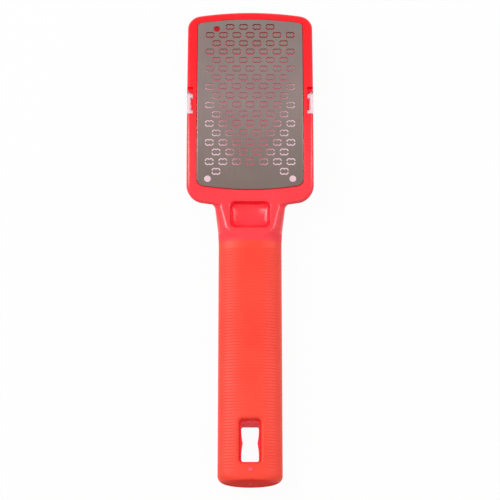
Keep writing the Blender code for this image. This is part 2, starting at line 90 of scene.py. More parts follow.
# %% [markdown]
# ## Node helpers
# Materials and geometry trees are both node trees. One helper places a node, one sets or links its
# sockets, and a small class lets sums be written with the usual signs. That keeps each later recipe
# as short as a formula, where a line for each math node would hide it.

# %% Node helpers


def connect(tree, target, inputs):
    """Sets a node's sockets to values, or links them to other sockets."""
    for key, value in inputs.items():
        value = getattr(value, "socket", value)
        if isinstance(value, bpy.types.NodeSocket):
            tree.links.new(value, target.inputs[key])
        else:
            target.inputs[key].default_value = value


def node(tree, kind, inputs=None, **settings):
    """A new node. Its settings come first, because they can change its sockets."""
    made = tree.nodes.new(kind)
    for name, value in settings.items():
        setattr(made, name, value)
    connect(tree, made, inputs or {})
    return made


# %% Sums of sockets


class Number:
    """A number in a node tree, which the usual signs join to others."""

    def __init__(self, tree, socket):
        self.tree, self.socket = tree, socket

    def __add__(self, other):
        return calc(self.tree, "ADD", self, other)

    def __sub__(self, other):
        return calc(self.tree, "SUBTRACT", self, other)

    def __rsub__(self, other):
        return calc(self.tree, "SUBTRACT", other, self)

    def __mul__(self, other):
        return calc(self.tree, "MULTIPLY", self, other)

    def __truediv__(self, other):
        return calc(self.tree, "DIVIDE", self, other)

    def __rtruediv__(self, other):
        return calc(self.tree, "DIVIDE", other, self)


def calc(tree, operation, *values, clamp=False):
    """A math node over numbers and sockets."""
    inputs = dict(enumerate(values))
    made = node(tree, "ShaderNodeMath", inputs, operation=operation, use_clamp=clamp)
    return Number(tree, made.outputs[0])


def ramp(tree, value, start, end, low=0.0, high=1.0):
    """value taken smoothly from start..end to low..high, and held outside."""
    places = dict(enumerate((value, start, end, low, high)))
    made = node(tree, "ShaderNodeMapRange", places, interpolation_type="SMOOTHSTEP")
    return Number(tree, made.outputs[0])


# %% Trees with named inputs and outputs


def numbers(tree, made):
    """A node's outputs by their names."""
    return {socket.name: Number(tree, socket) for socket in made.outputs}


def parted(tree, vector):
    """The X, Y and Z of a vector."""
    return numbers(tree, node(tree, "ShaderNodeSeparateXYZ", {0: vector})).values()


def joined(tree, x, y, z):
    return node(tree, "ShaderNodeCombineXYZ", {0: x, 1: y, 2: z}).outputs[0]


def new_tree(name, kind, inputs):
    """An empty tree and its inputs. Each input has a number, or the kind of its socket."""
    tree = bpy.data.node_groups.new(name, kind + "NodeTree")
    for label, value in inputs.items():
        socket_type = "NodeSocket" + (value if isinstance(value, str) else "Float")
        socket = tree.interface.new_socket(label, in_out="INPUT", socket_type=socket_type)
        if socket_type == "NodeSocketFloat":
            socket.default_value = value
    return tree, numbers(tree, tree.nodes.new("NodeGroupInput"))


def end_tree(tree, results, kind="Float"):
    """Gives a tree its named outputs."""
    for label in results:
        tree.interface.new_socket(label, in_out="OUTPUT", socket_type="NodeSocket" + kind)
    node(tree, "NodeGroupOutput", results)


# %% [markdown]
# ## Stage and light
# The object stands on a pale floor against white. Rays from the camera, and rays that metal or
# clear plastic send on, see the world as plain white and the floor as nearly white, with a trace of
# the object's shadow. Stronger light could whiten them too, but it would wash out the reds, so the
# light on the object is a soft dome and three lamps at a plain level. Two long strips stand to the
# left and the right and tilt towards the tip: the left one draws thin bright lines along the
# ridges, and the weaker right one fills the other flank. A faint line of light from the butt's side
# lifts the rounded edges that face the handle.

# %% World
WHITE = (1, 1, 1, 1)
DOME_LIGHT = 0.42


def sees_backdrop(tree):
    """1 for rays that show the backdrop, 0 for rays that light the object."""
    path = numbers(tree, node(tree, "ShaderNodeLightPath"))
    total = path["Is Camera Ray"] + path["Is Glossy Ray"]
    return calc(tree, "ADD", total, path["Is Transmission Ray"], clamp=True)


world = bpy.data.worlds.new("studio")
world.use_nodes = True
bpy.context.scene.world = world
tree = world.node_tree
level = sees_backdrop(tree) * (1 - DOME_LIGHT) + DOME_LIGHT
connect(tree, tree.nodes["Background"], {"Color": WHITE, "Strength": level})
print("world: white to the camera,", DOME_LIGHT, "as a light")

# %% Floor
FLOOR_GLOW = 0.96
FLOOR_DROP = 0.2 * MM
FLOOR_SIDE = 4.0
FLOOR_PALE = (0.75, 0.75, 0.75, 1)


def new_material(name):
    """A new material, its tree and its shader."""
    material = bpy.data.materials.new(name)
    material.use_nodes = True
    return material, material.node_tree, material.node_tree.nodes["Principled BSDF"]


floor_paint, tree, shader = new_material("pale_floor")
tree.nodes.remove(shader)
paint = node(tree, "ShaderNodeBsdfDiffuse", {"Color": FLOOR_PALE}).outputs[0]
glow = node(tree, "ShaderNodeEmission", {"Color": WHITE, "Strength": 1.0}).outputs[0]
mix = node(tree, "ShaderNodeMixShader", {0: sees_backdrop(tree) * FLOOR_GLOW, 1: paint, 2: glow})
connect(tree, tree.nodes["Material Output"], {"Surface": mix.outputs[0]})
half = FLOOR_SIDE / 2
corners = ((-half, -half), (half, -half), (half, half), (-half, half))
floor_mesh = bpy.data.meshes.new("floor")
floor_mesh.from_pydata([(*corner, -FLOOR_DROP) for corner in corners], [], [(0, 1, 2, 3)])
floor_mesh.materials.append(floor_paint)
floor = new_object("floor", floor_mesh)
print("floor:", FLOOR_SIDE, "m wide")

# %% Lamps
LAMP_DISTANCE = 1.0
# Each lamp has a power in watts, a width and a length in metres, and two angles in degrees: its
# lean away from the vertical to +X, and its tilt to +Y.
LAMPS = (
    ("left_strip", 7.1, 0.10, 0.9, -45, 22),
    ("right_strip", 3.5, 0.08, 0.9, 46, 22),
    ("butt_side_line", 0.7, 0.6, 0.04, 0, -34),
)
for name, power, width, length, lean, tilt in LAMPS:
    lamp = bpy.data.lights.new(name, "AREA")
    lamp.energy = power
    lamp.shape = "RECTANGLE"
    lamp.size, lamp.size_y = width, length
    lean, tilt = math.radians(lean), math.radians(tilt)
    upwards = math.cos(lean)
    away = Vector((math.sin(lean), math.sin(tilt) * upwards, math.cos(tilt) * upwards))
    stand = new_object(name, lamp)
    stand.location = away * LAMP_DISTANCE
    stand.rotation_euler = away.to_track_quat("Z", "Y").to_euler()
print("lamps:", [name for name, *_ in LAMPS])

# %% [markdown]
# ## Sizes
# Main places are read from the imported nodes, so a piece always sits where its solid sits. The rest
# are the tool's own measures, in millimetres turned into metres.

# %% Places along the tool
HEAD_SPARE = 0.15 * MM
COLLAR_GAP = 0.02 * MM
COLLAR_LENGTH = 5.0 * MM
GRIP_TO_HEAD = 17.2 * MM
PLATE_END_MARGIN = 8.0 * MM
PLATE_TIP_MARGIN = 4.5 * MM
FIT_GAP = 0.3 * MM
OVERRUN = 4 * MM
_, frame_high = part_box("frame")
plate_low, plate_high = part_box("rasp_plate")
grip_low, grip_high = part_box("grip")
TIP_Y = frame_high.y
BUTT_Y = grip_low.y
GRIP_FRONT_Y = grip_high.y
DECK_HEIGHT = grip_high.z
HEAD_HALF = frame_high.x + HEAD_SPARE
PLATE_HALF = plate_high.x
GRIP_LENGTH = GRIP_FRONT_Y - BUTT_Y
COLLAR_BACK_Y = GRIP_FRONT_Y + COLLAR_GAP
COLLAR_FRONT_Y = GRIP_FRONT_Y + COLLAR_LENGTH
HEAD_END_Y = GRIP_FRONT_Y + GRIP_TO_HEAD
PLATE_END_Y = HEAD_END_Y + PLATE_END_MARGIN
PLATE_TIP_Y = TIP_Y - PLATE_TIP_MARGIN
print(f"handle {GRIP_LENGTH / MM:.1f} mm, head {(TIP_Y - HEAD_END_Y) / MM:.1f} mm long")

# %% The arc of the head
RASP_RADIUS = 234.5 * MM
LAST_ROW_SLOPE = math.radians(4)
LAST_ROW_MARGIN = 8.65 * MM
CREST_Y = PLATE_END_Y + LAST_ROW_MARGIN + RASP_RADIUS * math.sin(LAST_ROW_SLOPE)
CREST_Z = DECK_HEIGHT + RASP_RADIUS * (1 - math.cos(LAST_ROW_SLOPE))
PLATE_PROUD = 0.25 * MM
PLATE_THICKNESS = 0.5 * MM
FRAME_DEPTH = 8.0 * MM
FRAME_TIP_DEPTH = 7.0 * MM


def sagitta(distance, radius):
    return radius - math.sqrt(radius * radius - distance * distance)


def rim_top(y):
    return CREST_Z - sagitta(y - CREST_Y, RASP_RADIUS) - PLATE_PROUD


def frame_underside(y):
    share = (y - HEAD_END_Y) / (TIP_Y - HEAD_END_Y)
    return rim_top(y) - FRAME_DEPTH - (FRAME_TIP_DEPTH - FRAME_DEPTH) * share


rim_heights = [round(rim_top(y) / MM, 2) for y in (HEAD_END_Y, TIP_Y)]
print("height of the rim in mm, at the neck and at the tip:", rim_heights)

# %% [markdown]
# ## Shapes from rings
# Every moulded form here is a loft: rings of equal count, joined by quads. A ring can follow an
# outline in plan, as round the head, or a section across the handle. Subdivided cages could do it
# too, but they blur crisp ridges, while lofts with many thin rings follow any rounding closely. The
# pocket, the notches and the holes are then cut with booleans.

# %% Steps and roundings


def steps(start, end, count):
    """count values from start towards end, leaving out the end."""
    return [start + (end - start) * i / count for i in range(count)]


def quarter_turn(count):
    return steps(0, math.pi / 2, count) + [math.pi / 2]


def rounding(radius, count):
    """How far out, and how far along, each step of a rounded edge lies."""
    turns = quarter_turn(count)
    return [(radius * (1 - math.sin(turn)), radius * (1 - math.cos(turn))) for turn in turns]


def smooth(share):
    share = min(max(share, 0), 1)
    return share * share * (3 - 2 * share)


def mixed(start, end, share):
    return start + (end - start) * share


# %% Lofts
WELD = 1e-7


@contextmanager
def editing(mesh):
    """Opens a mesh for edits, and closes it with all its faces pointing outwards."""
    shape = bmesh.new()
    shape.from_mesh(mesh)
    yield shape
    bmesh.ops.recalc_face_normals(shape, faces=shape.faces)
    shape.to_mesh(mesh)
    shape.free()


def outward(name, points, faces):
    mesh = bpy.data.meshes.new(name)
    mesh.from_pydata(points, [], faces)
    with editing(mesh) as shape:
        bmesh.ops.remove_doubles(shape, verts=shape.verts, dist=WELD)
    return mesh


def loft(name, rings, closed=False):
    """A mesh through rings of equal count, capped at both ends or joined end to end."""
    count = len(rings[0])
    points = [point for ring in rings for point in ring]
    faces = []
    for row in range(len(rings) - (0 if closed else 1)):
        low, high = row * count, (row + 1) % len(rings) * count
        for i in range(count):
            after = (i + 1) % count
            faces.append((low + i, low + after, high + after, high + i))
    if not closed:
        faces += [tuple(range(count)), tuple(range(len(points) - count, len(points)))]
    return outward(name, points, faces)


# %% Booleans and bevels
ROUND_PROFILE = 0.5
BEVEL_STEPS = 2


def applied(target):
    """Builds an object's modifiers into its mesh."""
    bpy.context.view_layer.update()
    graph = bpy.context.evaluated_depsgraph_get()
    mesh = bpy.data.meshes.new_from_object(target.evaluated_get(graph))
    target.modifiers.clear()
    target.data = mesh


def combine(target, operation, *meshes):
    """Cuts meshes out of an object, or joins them to it."""
    for mesh in meshes:
        helper = new_object("helper", mesh)
        modifier = target.modifiers.new("combine", "BOOLEAN")
        modifier.operation = operation
        modifier.object = helper
        modifier.solver = "MANIFOLD"
        applied(target)
        bpy.data.objects.remove(helper)


def bevelled(mesh, width):
    with editing(mesh) as shape:
        bmesh.ops.bevel(shape, geom=shape.edges[:], offset=width, segments=BEVEL_STEPS,
                        profile=ROUND_PROFILE, affect="EDGES")
    return mesh


def block(x_range, y_range, z_range):
    points = [(x, y, z) for x in x_range for y in y_range for z in z_range]
    faces = [(0, 1, 3, 2), (4, 6, 7, 5), (0, 4, 5, 1), (2, 3, 7, 6), (0, 2, 6, 4), (1, 5, 7, 3)]
    return outward("block", points, faces)


def shaded(mesh, sharp_angle):
    """Smooth shading, but for edges that turn by more than an angle in degrees."""
    mesh.shade_smooth()
    mesh.set_sharp_from_angle(angle=math.radians(sharp_angle))


# %% [markdown]
# ## Shared surface effects
# Moulded plastic is never perfectly even: it has a fine grain from the mould, broad soft clouds in
# its colour, edges that handling has polished, and crevices where light bounces from wall to wall,
# which get a painted shade. Those four go into one group, which every plastic piece uses with its
# own values. Crevices could be drawn on each piece, but how much open sky a point sees finds them
# on any shape. A second group is a mask that fades in along the tool, which places the matt parts
# and the painted shades and sheen, and the steel has a third, for its brushed grain.

# %% Moulded surface group
CLOUD_SPAN = (0.3, 0.7)
WORN_SPAN = (0.53, 0.62)
CREVICE_SPAN = (0.93, 0.68)
SKY_SAMPLES = 6


def object_place(tree):
    return node(tree, "ShaderNodeTexCoord").outputs["Object"]


def noise(tree, place, scale, detail=3.0, roughness=0.5):
    values = {"Vector": place, "Scale": scale, "Detail": detail, "Roughness": roughness}
    return node(tree, "ShaderNodeTexNoise", values).outputs["Fac"]


moulded, given = new_tree(
    "moulded_surface", "Shader", {"Cloud Size": 0.03, "Grain Size": 0.0006, "Crevice Reach": 0.005}
)
place = object_place(moulded)
reach = {"Distance": given["Crevice Reach"]}
# How much open sky a point sees marks the crevices, which the plastics fill with painted shade.
open_sky = node(moulded, "ShaderNodeAmbientOcclusion", reach, samples=SKY_SAMPLES).outputs["AO"]
pointed = node(moulded, "ShaderNodeNewGeometry").outputs["Pointiness"]
end_tree(moulded, {
    "Clouds": ramp(moulded, noise(moulded, place, 1.0 / given["Cloud Size"]), *CLOUD_SPAN),
    "Grain": noise(moulded, place, 1.0 / given["Grain Size"], detail=2.0, roughness=0.6),
    "Worn Edge": ramp(moulded, pointed, *WORN_SPAN),
    "Crevice": ramp(moulded, open_sky, *CREVICE_SPAN),
})

# %% Fade group
fade_along, given = new_tree("fade_along", "Shader", {"From": 0.0, "To": 0.1, "Side Weight": 0.0})
x, y, _ = parted(fade_along, object_place(fade_along))
reach = y - calc(fade_along, "ABSOLUTE", x) * given["Side Weight"]
end_tree(fade_along, {"Fade": ramp(fade_along, reach, given["From"], given["To"])})

# %% Brushed metal group
HAZE_SCALE = 55.0
brushed, given = new_tree("brushed_metal", "Shader", {"Line Width": 0.00012, "Line Length": 0.02})
place = object_place(brushed)
along = 1.0 / given["Line Length"]
stretch = {0: place, 1: joined(brushed, 1.0 / given["Line Width"], along, along)}
stretched = node(brushed, "ShaderNodeVectorMath", stretch, operation="MULTIPLY").outputs[0]
end_tree(brushed, {
    "Lines": noise(brushed, stretched, scale=1.0, roughness=0.6),
    "Haze": ramp(brushed, noise(brushed, place, HAZE_SCALE), *CLOUD_SPAN),
})
print("surface groups:", moulded.name, fade_along.name, brushed.name)

# %% [markdown]
# ## Finishes
# The two red plastics differ: the frame is a hard, satin, slightly pink red, and the sleeve a
# softer, more orange one. Both are so pure that the pale sheen on them is nearly all their green
# and blue, so the base colours hold little of either, and a painted shade takes out still more
# in crevices: a deeper red that stands in for light bouncing between red walls. The frame is
# painted a deeper red towards the tip, and the butt's end face, which faces away from the light,
# a darker red: both are painted shade. The pins are painted a paler pink, a painted sheen. The
# collar and the butt's end are matt, which ends the shine of the ridges and of the sleeve there.
# The tray is rosy and cloudy and lets light in through its walls; its mauve middle, under the
# sheet, and its crimson tip, under the red frame, are painted shade. The sheet is a warm grey
# metal, painted darker towards the neck, which stands in for a dimmer reflection there.

# %% Colours, fades and bump
MIX_FACTOR, MIX_FIRST, MIX_SECOND, MIX_RESULT = 0, 6, 7, 2


def shade_between(tree, mask, low, high):
    """A colour between two others, each of them plain or another node's colour."""
    values = {MIX_FACTOR: mask}
    for place, colour in ((MIX_FIRST, low), (MIX_SECOND, high)):
        values[place] = colour if isinstance(colour, bpy.types.NodeSocket) else (*colour, 1)
    return node(tree, "ShaderNodeMix", data_type="RGBA", inputs=values).outputs[MIX_RESULT]


def from_group(tree, group, values):
    """The outputs of a shared effect that is placed in a material with its own values."""
    return numbers(tree, node(tree, "ShaderNodeGroup", values, node_tree=group))


def faded(tree, *places):
    """A mask that fades in between two places along the tool, and may lag at its sides."""
    values = dict(zip(("From", "To", "Side Weight"), places))
    return from_group(tree, fade_along, values)["Fade"]


def finish(tree, shader, colour, dull, height, depth):
    """Links a shader's colour, roughness and bump."""
    bump = node(tree, "ShaderNodeBump", {"Height": height, "Strength": 1.0, "Distance": depth})
    connect(tree, shader, {"Base Color": colour, "Roughness": dull, "Normal": bump.outputs[0]})


# %% Recipe of a moulded plastic
WORN_SHINE = -0.3
GRAIN_DULL = 0.1


def plastic(name, low, high, roughness, depth, surface, fixed, fades, crevice_shade=None, matt=None):
    """A moulded plastic: cloudy between two colours, grained to a depth, smoother on worn edges.

    surface and fixed are the values of the moulded surface and of the shader. fades hold further
    colours, and the places and side weight by which each fades in. The crevice colour is a painted
    shade: a deeper red that stands in for light bouncing between red walls. matt adds roughness
    between places.
    """
    material, tree, shader = new_material(name)
    connect(tree, shader, fixed)
    given = from_group(tree, moulded, surface)
    colour = shade_between(tree, given["Clouds"], low, high)
    for fade_colour, *places in fades:
        colour = shade_between(tree, faded(tree, *places), colour, fade_colour)
    # Painted shade: crevices take a deeper red, standing in for light that bounces between red
    # walls.
    if crevice_shade:
        colour = shade_between(tree, given["Crevice"], colour, crevice_shade)
    dull = given["Worn Edge"] * (WORN_SHINE * roughness) + roughness
    dull = dull + (given["Grain"] * GRAIN_DULL - GRAIN_DULL / 2)
    if matt:
        added, *places = matt
        dull = faded(tree, *places) * added + dull
    finish(tree, shader, colour, dull, given["Grain"], depth)
    return material


# %% Plastics
# A fade has a colour, the two places along the tool that it comes in between, and maybe a weight
# by which it lags at the sides.
END_FACE = (BUTT_Y + 3.4 * MM, BUTT_Y + 2.0 * MM, -0.08)
# Painted shade: the butt's end face, which faces away from the light, is painted a darker red.
END_FACE_SHADE = ((0.78, 0.024, 0.011), *END_FACE)
# Painted shade: the frame is painted a deeper red towards the tip of the head.
TIP_SHADE_RED = ((0.94, 0.001, 0.007), 0.008, 0.102)
# Painted sheen: the pins at the butt are painted a paler pink, for the sheen they show.
PIN_SHEEN_PINK = ((1.0, 0.095, 0.125), BUTT_Y + 12 * MM, BUTT_Y + 9 * MM)
# Painted shade: the tray turns mauve in its middle, shaded by the sheet, but stays pale at its
# sides.
TRAY_MIDDLE_SHADE = ((0.66, 0.15, 0.21), -0.004, 0.036, 3.0)
# Painted shade: the tray turns crimson at its tip, shaded by the red frame around it.
TRAY_TIP_SHADE = ((0.62, 0.006, 0.02), 0.090, 0.106)
hard_red = plastic(
    "hard_red", low=(0.93, 0.034, 0.048), high=(0.96, 0.044, 0.060), roughness=0.26,
    depth=0.002 * MM, surface={"Cloud Size": 0.030, "Grain Size": 0.0009, "Crevice Reach": 0.008},
    fixed={"Specular IOR Level": 0.38}, fades=(TIP_SHADE_RED, PIN_SHEEN_PINK), crevice_shade=(1.0, 0.0005, 0.020),
    matt=(0.3, COLLAR_FRONT_Y - 0.2 * MM, COLLAR_FRONT_Y - 1.1 * MM),
)
soft_red = plastic(
    "soft_red", low=(0.92, 0.047, 0.023), high=(0.96, 0.060, 0.032), roughness=0.48,
    depth=0.006 * MM, surface={"Cloud Size": 0.024, "Grain Size": 0.0007, "Crevice Reach": 0.005},
    fixed={"Specular IOR Level": 0.34}, fades=(END_FACE_SHADE,), crevice_shade=(1.0, 0.010, 0.003),
    matt=(0.42, *END_FACE),
)
clear_plastic = plastic(
    "clear_plastic", low=(0.97, 0.66, 0.73), high=(0.99, 0.74, 0.80), roughness=0.30,
    depth=0.004 * MM, surface={"Cloud Size": 0.018, "Grain Size": 0.0012, "Crevice Reach": 0.005},
    fixed={"Specular IOR Level": 0.5, "Transmission Weight": 0.97},
    fades=(TRAY_MIDDLE_SHADE, TRAY_TIP_SHADE),
)
print("plastics:", [material.name for material in (hard_red, soft_red, clear_plastic)])

# %% Steel
STEEL_TONES = ((0.219, 0.174, 0.162), (0.306, 0.242, 0.227))
# Painted shade: darker tones fade in towards the neck, for the dimmer reflection the sheet shows
# there.
NECK_END_SHADE_TONES = ((0.146, 0.113, 0.100), (0.208, 0.159, 0.142))
NECK_END_SHADE_FADE = (0.075, 0.018)
LINE_SHARE = 0.75
LINE_DULL = 0.16
STEEL_DULL = 0.26
STEEL_GRAIN_DEPTH = 0.002 * MM
steel, tree, shader = new_material("steel")
shader.inputs["Metallic"].default_value = 1.0
brush = from_group(tree, brushed, {"Line Width": 0.00022, "Line Length": 0.009})
tone = brush["Lines"] * LINE_SHARE + brush["Haze"] * (1 - LINE_SHARE)
tones = [shade_between(tree, tone, *pair) for pair in (STEEL_TONES, NECK_END_SHADE_TONES)]
# The painted darker reflection towards the neck.
colour = shade_between(tree, faded(tree, *NECK_END_SHADE_FADE), *tones)
dull = brush["Lines"] * LINE_DULL + STEEL_DULL
finish(tree, shader, colour, dull, brush["Lines"], STEEL_GRAIN_DEPTH)
print("metal:", steel.name)

# %% [markdown]
# ## Head of the frame
# The head is a ring: a skirt that is drawn in towards its foot, a rounded rim, a sunk seat for the
# sheet, and a window under it. One loft goes all the way round that profile, so nothing has to be
# cut. In plan each ring is a rounded rectangle whose ends bow outwards, and its height follows the
# arc of the head.

# %% Outlines in plan
END_BOW_RADIUS = 146 * MM
END_STEPS = 12
CORNER_STEPS = 12
SIDE_STEPS = 48
FRAME_END_CORNER = 7.0 * MM
FRAME_TIP_CORNER = 5.8 * MM
PLATE_END_CORNER = 2.8 * MM
PLATE_TIP_CORNER = 1.6 * MM


def corner_arc(center_x, center_y, radius, start_angle):
    angles = steps(start_angle, start_angle + math.pi / 2, CORNER_STEPS)
    return [(center_x + radius * math.cos(a), center_y + radius * math.sin(a)) for a in angles]


def mirrored(half):
    """The closed outline of a half that runs up the +X side, from the axis to the axis."""
    return half + [(-x, y) for x, y in reversed(half[1:-1])]


def head_outline(half_width, end_y, tip_y, end_corner, tip_corner):
    corner_bow = sagitta(half_width, END_BOW_RADIUS)
    low, high = end_y + end_corner, tip_y - tip_corner
    half = [(x, end_y) for x in steps(0, half_width - end_corner, END_STEPS)]
    half += corner_arc(half_width - end_corner, low, end_corner, -math.pi / 2)
    half = [(x, y + sagitta(x, END_BOW_RADIUS)) for x, y in half]
    half += [(half_width, y) for y in steps(low + corner_bow, high - corner_bow, SIDE_STEPS)]
    tip = corner_arc(half_width - tip_corner, high, tip_corner, 0)
    tip += [(x, tip_y) for x in steps(half_width - tip_corner, 0, END_STEPS)] + [(0, tip_y)]
    return mirrored(half + [(x, y - sagitta(x, END_BOW_RADIUS)) for x, y in tip])


def frame_outline(inset):
    corners = (FRAME_END_CORNER - inset, FRAME_TIP_CORNER - inset)
    return head_outline(HEAD_HALF - inset, HEAD_END_Y + inset, TIP_Y - inset, *corners)


def plate_outline(grow):
    corners = (PLATE_END_CORNER + grow, PLATE_TIP_CORNER + grow)
    return head_outline(PLATE_HALF + grow, PLATE_END_Y - grow, PLATE_TIP_Y + grow, *corners)


print("points round the head:", len(frame_outline(0)))

# %% Rim and foot of the head
EDGE_ROUND = 1.7 * MM
NECK_TOP_HALF = 14.1 * MM
NECK_HALF = 17.0 * MM
NECK_FILLET = 3.0 * MM
LEAST_ROUND_SHARE = 0.02


def edge_round_at(x, y):
    """The rim's rounding, which fades out where the neck runs into the head."""
    if y > HEAD_END_Y + FRAME_END_CORNER:
        return EDGE_ROUND
    share = (abs(x) - NECK_TOP_HALF) / (NECK_HALF + NECK_FILLET / 2 - NECK_TOP_HALF)
    return EDGE_ROUND * max(smooth(share), LEAST_ROUND_SHARE)


def rim_ring(angle):
    ring = []
    for (x, y), (inner_x, inner_y) in zip(frame_outline(0), frame_outline(EDGE_ROUND)):
        size = edge_round_at(x, y)
        share = (1 - math.cos(angle)) * size / EDGE_ROUND
        place = (mixed(x, inner_x, share), mixed(y, inner_y, share))
        ring.append((*place, rim_top(place[1]) - size * (1 - math.sin(angle))))
    return ring


def under_rim(outline, depth):
    return [(x, y, rim_top(y) - depth) for x, y in outline]


def over_foot(outline, lift=0.0):
    return [(x, y, frame_underside(y) + lift) for x, y in outline]


# %% Head ring
FRAME_WALL = 3.0 * MM
FRAME_FLANGE = 3.0 * MM
FRAME_DRAFT = 1.8 * MM
FOOT_ROUND = 0.5 * MM
SEAT_ROUND = 0.2 * MM
SEAT_LEDGE = 2.3 * MM
RIM_TURNS = 8
SMALL_TURNS = 3


def head_ring():
    """The rings up the skirt, over the rim, down to the seat, and back down inside."""
    seat_depth = PLATE_THICKNESS + FIT_GAP - PLATE_PROUD
    window_y = (PLATE_END_Y + SEAT_LEDGE, PLATE_TIP_Y - SEAT_LEDGE)
    window = head_outline(PLATE_HALF - SEAT_LEDGE, *window_y, PLATE_END_CORNER, PLATE_END_CORNER)
    skirt = frame_outline(FRAME_WALL)
    rings = [over_foot(frame_outline(FRAME_DRAFT + inset), lift)
             for inset, lift in rounding(FOOT_ROUND, SMALL_TURNS)]
    rings += [rim_ring(turn) for turn in quarter_turn(RIM_TURNS)]
    rings += [under_rim(plate_outline(FIT_GAP + grow), depth)
              for grow, depth in rounding(SEAT_ROUND, SMALL_TURNS)]
    rings += [under_rim(plate_outline(FIT_GAP), seat_depth), under_rim(window, seat_depth)]
    rings += [under_rim(window, FRAME_FLANGE), under_rim(skirt, FRAME_FLANGE), over_foot(skirt)]
    return loft("frame_moulding", rings, closed=True)


def report_faces(label, piece):
    print(label + ":", len(piece.data.polygons), "faces")


frame_piece = new_object("frame_moulding", head_ring())
report_faces("head ring", frame_piece)

# %% [markdown]
# ## Neck and collar
# Behind the head the moulding narrows. Two crisp ridges run from the head towards the handle, with
# a flat between them, and soften into a smooth collar. Sections across the neck are eight straight
# sides with rounded corners, and the length of each rounding sets how crisp a ridge is. A bevel
# could round the ridges too, but its width is the same all along, and here it has to grow. So one
# family of sections makes the neck, the collar, the core and the sleeve.

# %% Sections across the handle
SECTION_STEPS = 14
TOP_SHARE = 0.5
FLANK_SHARE = 0.5
CORNER_SHARE = 0.5
SOFT_CORNER = 40 * MM


def section(y, half_width, top, bottom, top_half, ridge=SOFT_CORNER, shrink=0.0, shrink_up=None,
            lift=0.0):
    """A ring across the handle, drawn in by shrink to the sides and by shrink_up in height.

    ridge is the longest that its top corners are rounded, and lift raises its upper flank corners.
    """
    shrink_up = shrink if shrink_up is None else shrink_up
    half_width, top_half = half_width - shrink, top_half * (half_width - shrink) / half_width
    high, low = top - shrink_up, bottom + shrink_up
    middle, flank = (high + low) / 2, FLANK_SHARE * (high - low) / 2
    corners = [(top_half, high, ridge)]
    corners += [(half_width, z, SOFT_CORNER) for z in (middle + flank + lift, middle - flank)]
    corners += [(top_half, low, SOFT_CORNER)]
    corners += [(-x, z, longest) for x, z, longest in reversed(corners)]
    ring = []
    for i, (x, z, longest) in enumerate(corners):
        here = Vector((x, z))
        ends = []
        for other in (corners[i - 1], corners[(i + 1) % len(corners)]):
            side = Vector(other[:2]) - here
            ends.append(here + side * min(CORNER_SHARE, longest / side.length))
        for t in steps(0, 1, SECTION_STEPS):
            point = ends[0].lerp(here, t).lerp(here.lerp(ends[1], t), t)
            ring.append((point.x, y, point.y))
    return ring


# %% Flare of the neck
NECK_FRONT_Y = HEAD_END_Y + (FRAME_DRAFT + FRAME_WALL) / 2
NECK_SINK = 0.04 * MM
RIDGE_ROUND = 1.1 * MM
FILLET_WALL_Y = HEAD_END_Y + sagitta(NECK_HALF + NECK_FILLET / 2, END_BOW_RADIUS)
FILLET_DRAFT = math.tan(math.radians(16))


def neck_top(y):
    share = (y - COLLAR_FRONT_Y) / (NECK_FRONT_Y - COLLAR_FRONT_Y)
    return mixed(DECK_HEIGHT, rim_top(max(y, HEAD_END_Y)) - NECK_SINK, share)


def flared(ring, top, top_half, half_width):
    """The neck's ring, widened into the head: later at its foot, as the skirt is drafted."""
    wide = []
    for x, y, z in ring:
        wall_y = FILLET_WALL_Y + (top - z) * FILLET_DRAFT
        reach = min(max(NECK_FILLET - (wall_y - y), 0), NECK_FILLET)
        inner = top_half - RIDGE_ROUND
        weight = smooth((abs(x) - inner) / (half_width - inner))
        wide.append((x + math.copysign(sagitta(reach, NECK_FILLET) * weight, x), y, z))
    return wide


# %% Collar and neck
GRIP_HALF = 14.95 * MM
COLLAR_HALF = 15.2 * MM
COLLAR_TOP_SHARE = 0.70
COLLAR_RIDGE = 2.2 * MM
NECK_BACK_TOP_HALF = 10.5 * MM
NECK_FLANK_SLOPE = math.tan(math.radians(38))
FRONT_RISE = 1.4 * MM
RIDGE_START = 1.2 * MM


def eased(start, end, share):
    """A length taken from one to another by equal ratios."""
    return start * (end / start) ** share


def collar_section(y):
    share = (y - COLLAR_BACK_Y) / (COLLAR_FRONT_Y - COLLAR_BACK_Y)
    half_width = mixed(GRIP_HALF, COLLAR_HALF, share)
    top_half = half_width * mixed(TOP_SHARE, COLLAR_TOP_SHARE, smooth(share))
    ridge = eased(COLLAR_RIDGE, COLLAR_HALF, 1 - share)
    return section(y, half_width, DECK_HEIGHT, FRONT_RISE, top_half, ridge)


def neck_section(y):
    """A section of the neck, whose ridges turn crisp just in front of the collar."""
    share = (y - COLLAR_FRONT_Y) / (NECK_FRONT_Y - COLLAR_FRONT_Y)
    crisp = smooth((y - COLLAR_FRONT_Y) / RIDGE_START)
    head_bottom = neck_top(NECK_FRONT_Y) - FRAME_DEPTH + FIT_GAP
    top, bottom = neck_top(y), mixed(FRONT_RISE, head_bottom, smooth(share))
    half_width = mixed(COLLAR_HALF, NECK_HALF, share)
    neck_top_half = mixed(NECK_BACK_TOP_HALF, NECK_TOP_HALF, share)
    top_half = mixed(COLLAR_HALF * COLLAR_TOP_SHARE, neck_top_half, crisp)
    ridge = eased(RIDGE_ROUND, COLLAR_RIDGE, 1 - crisp)
    plain_corner = mixed((top + bottom) / 2, top, FLANK_SHARE)
    ridge_foot = top - (half_width - top_half) * NECK_FLANK_SLOPE
    lift = max(ridge_foot - plain_corner, 0) * crisp
    ring = section(y, half_width, top, bottom, top_half, ridge, lift=lift)
    return flared(ring, top, top_half, half_width)


# %% Profile of the handle
BUTT_HALF = 15.15 * MM
BELLY_SHARE = 0.042 / 0.1152
BUTT_RISE = 2.6 * MM
BUTT_DROP = 2.6 * MM


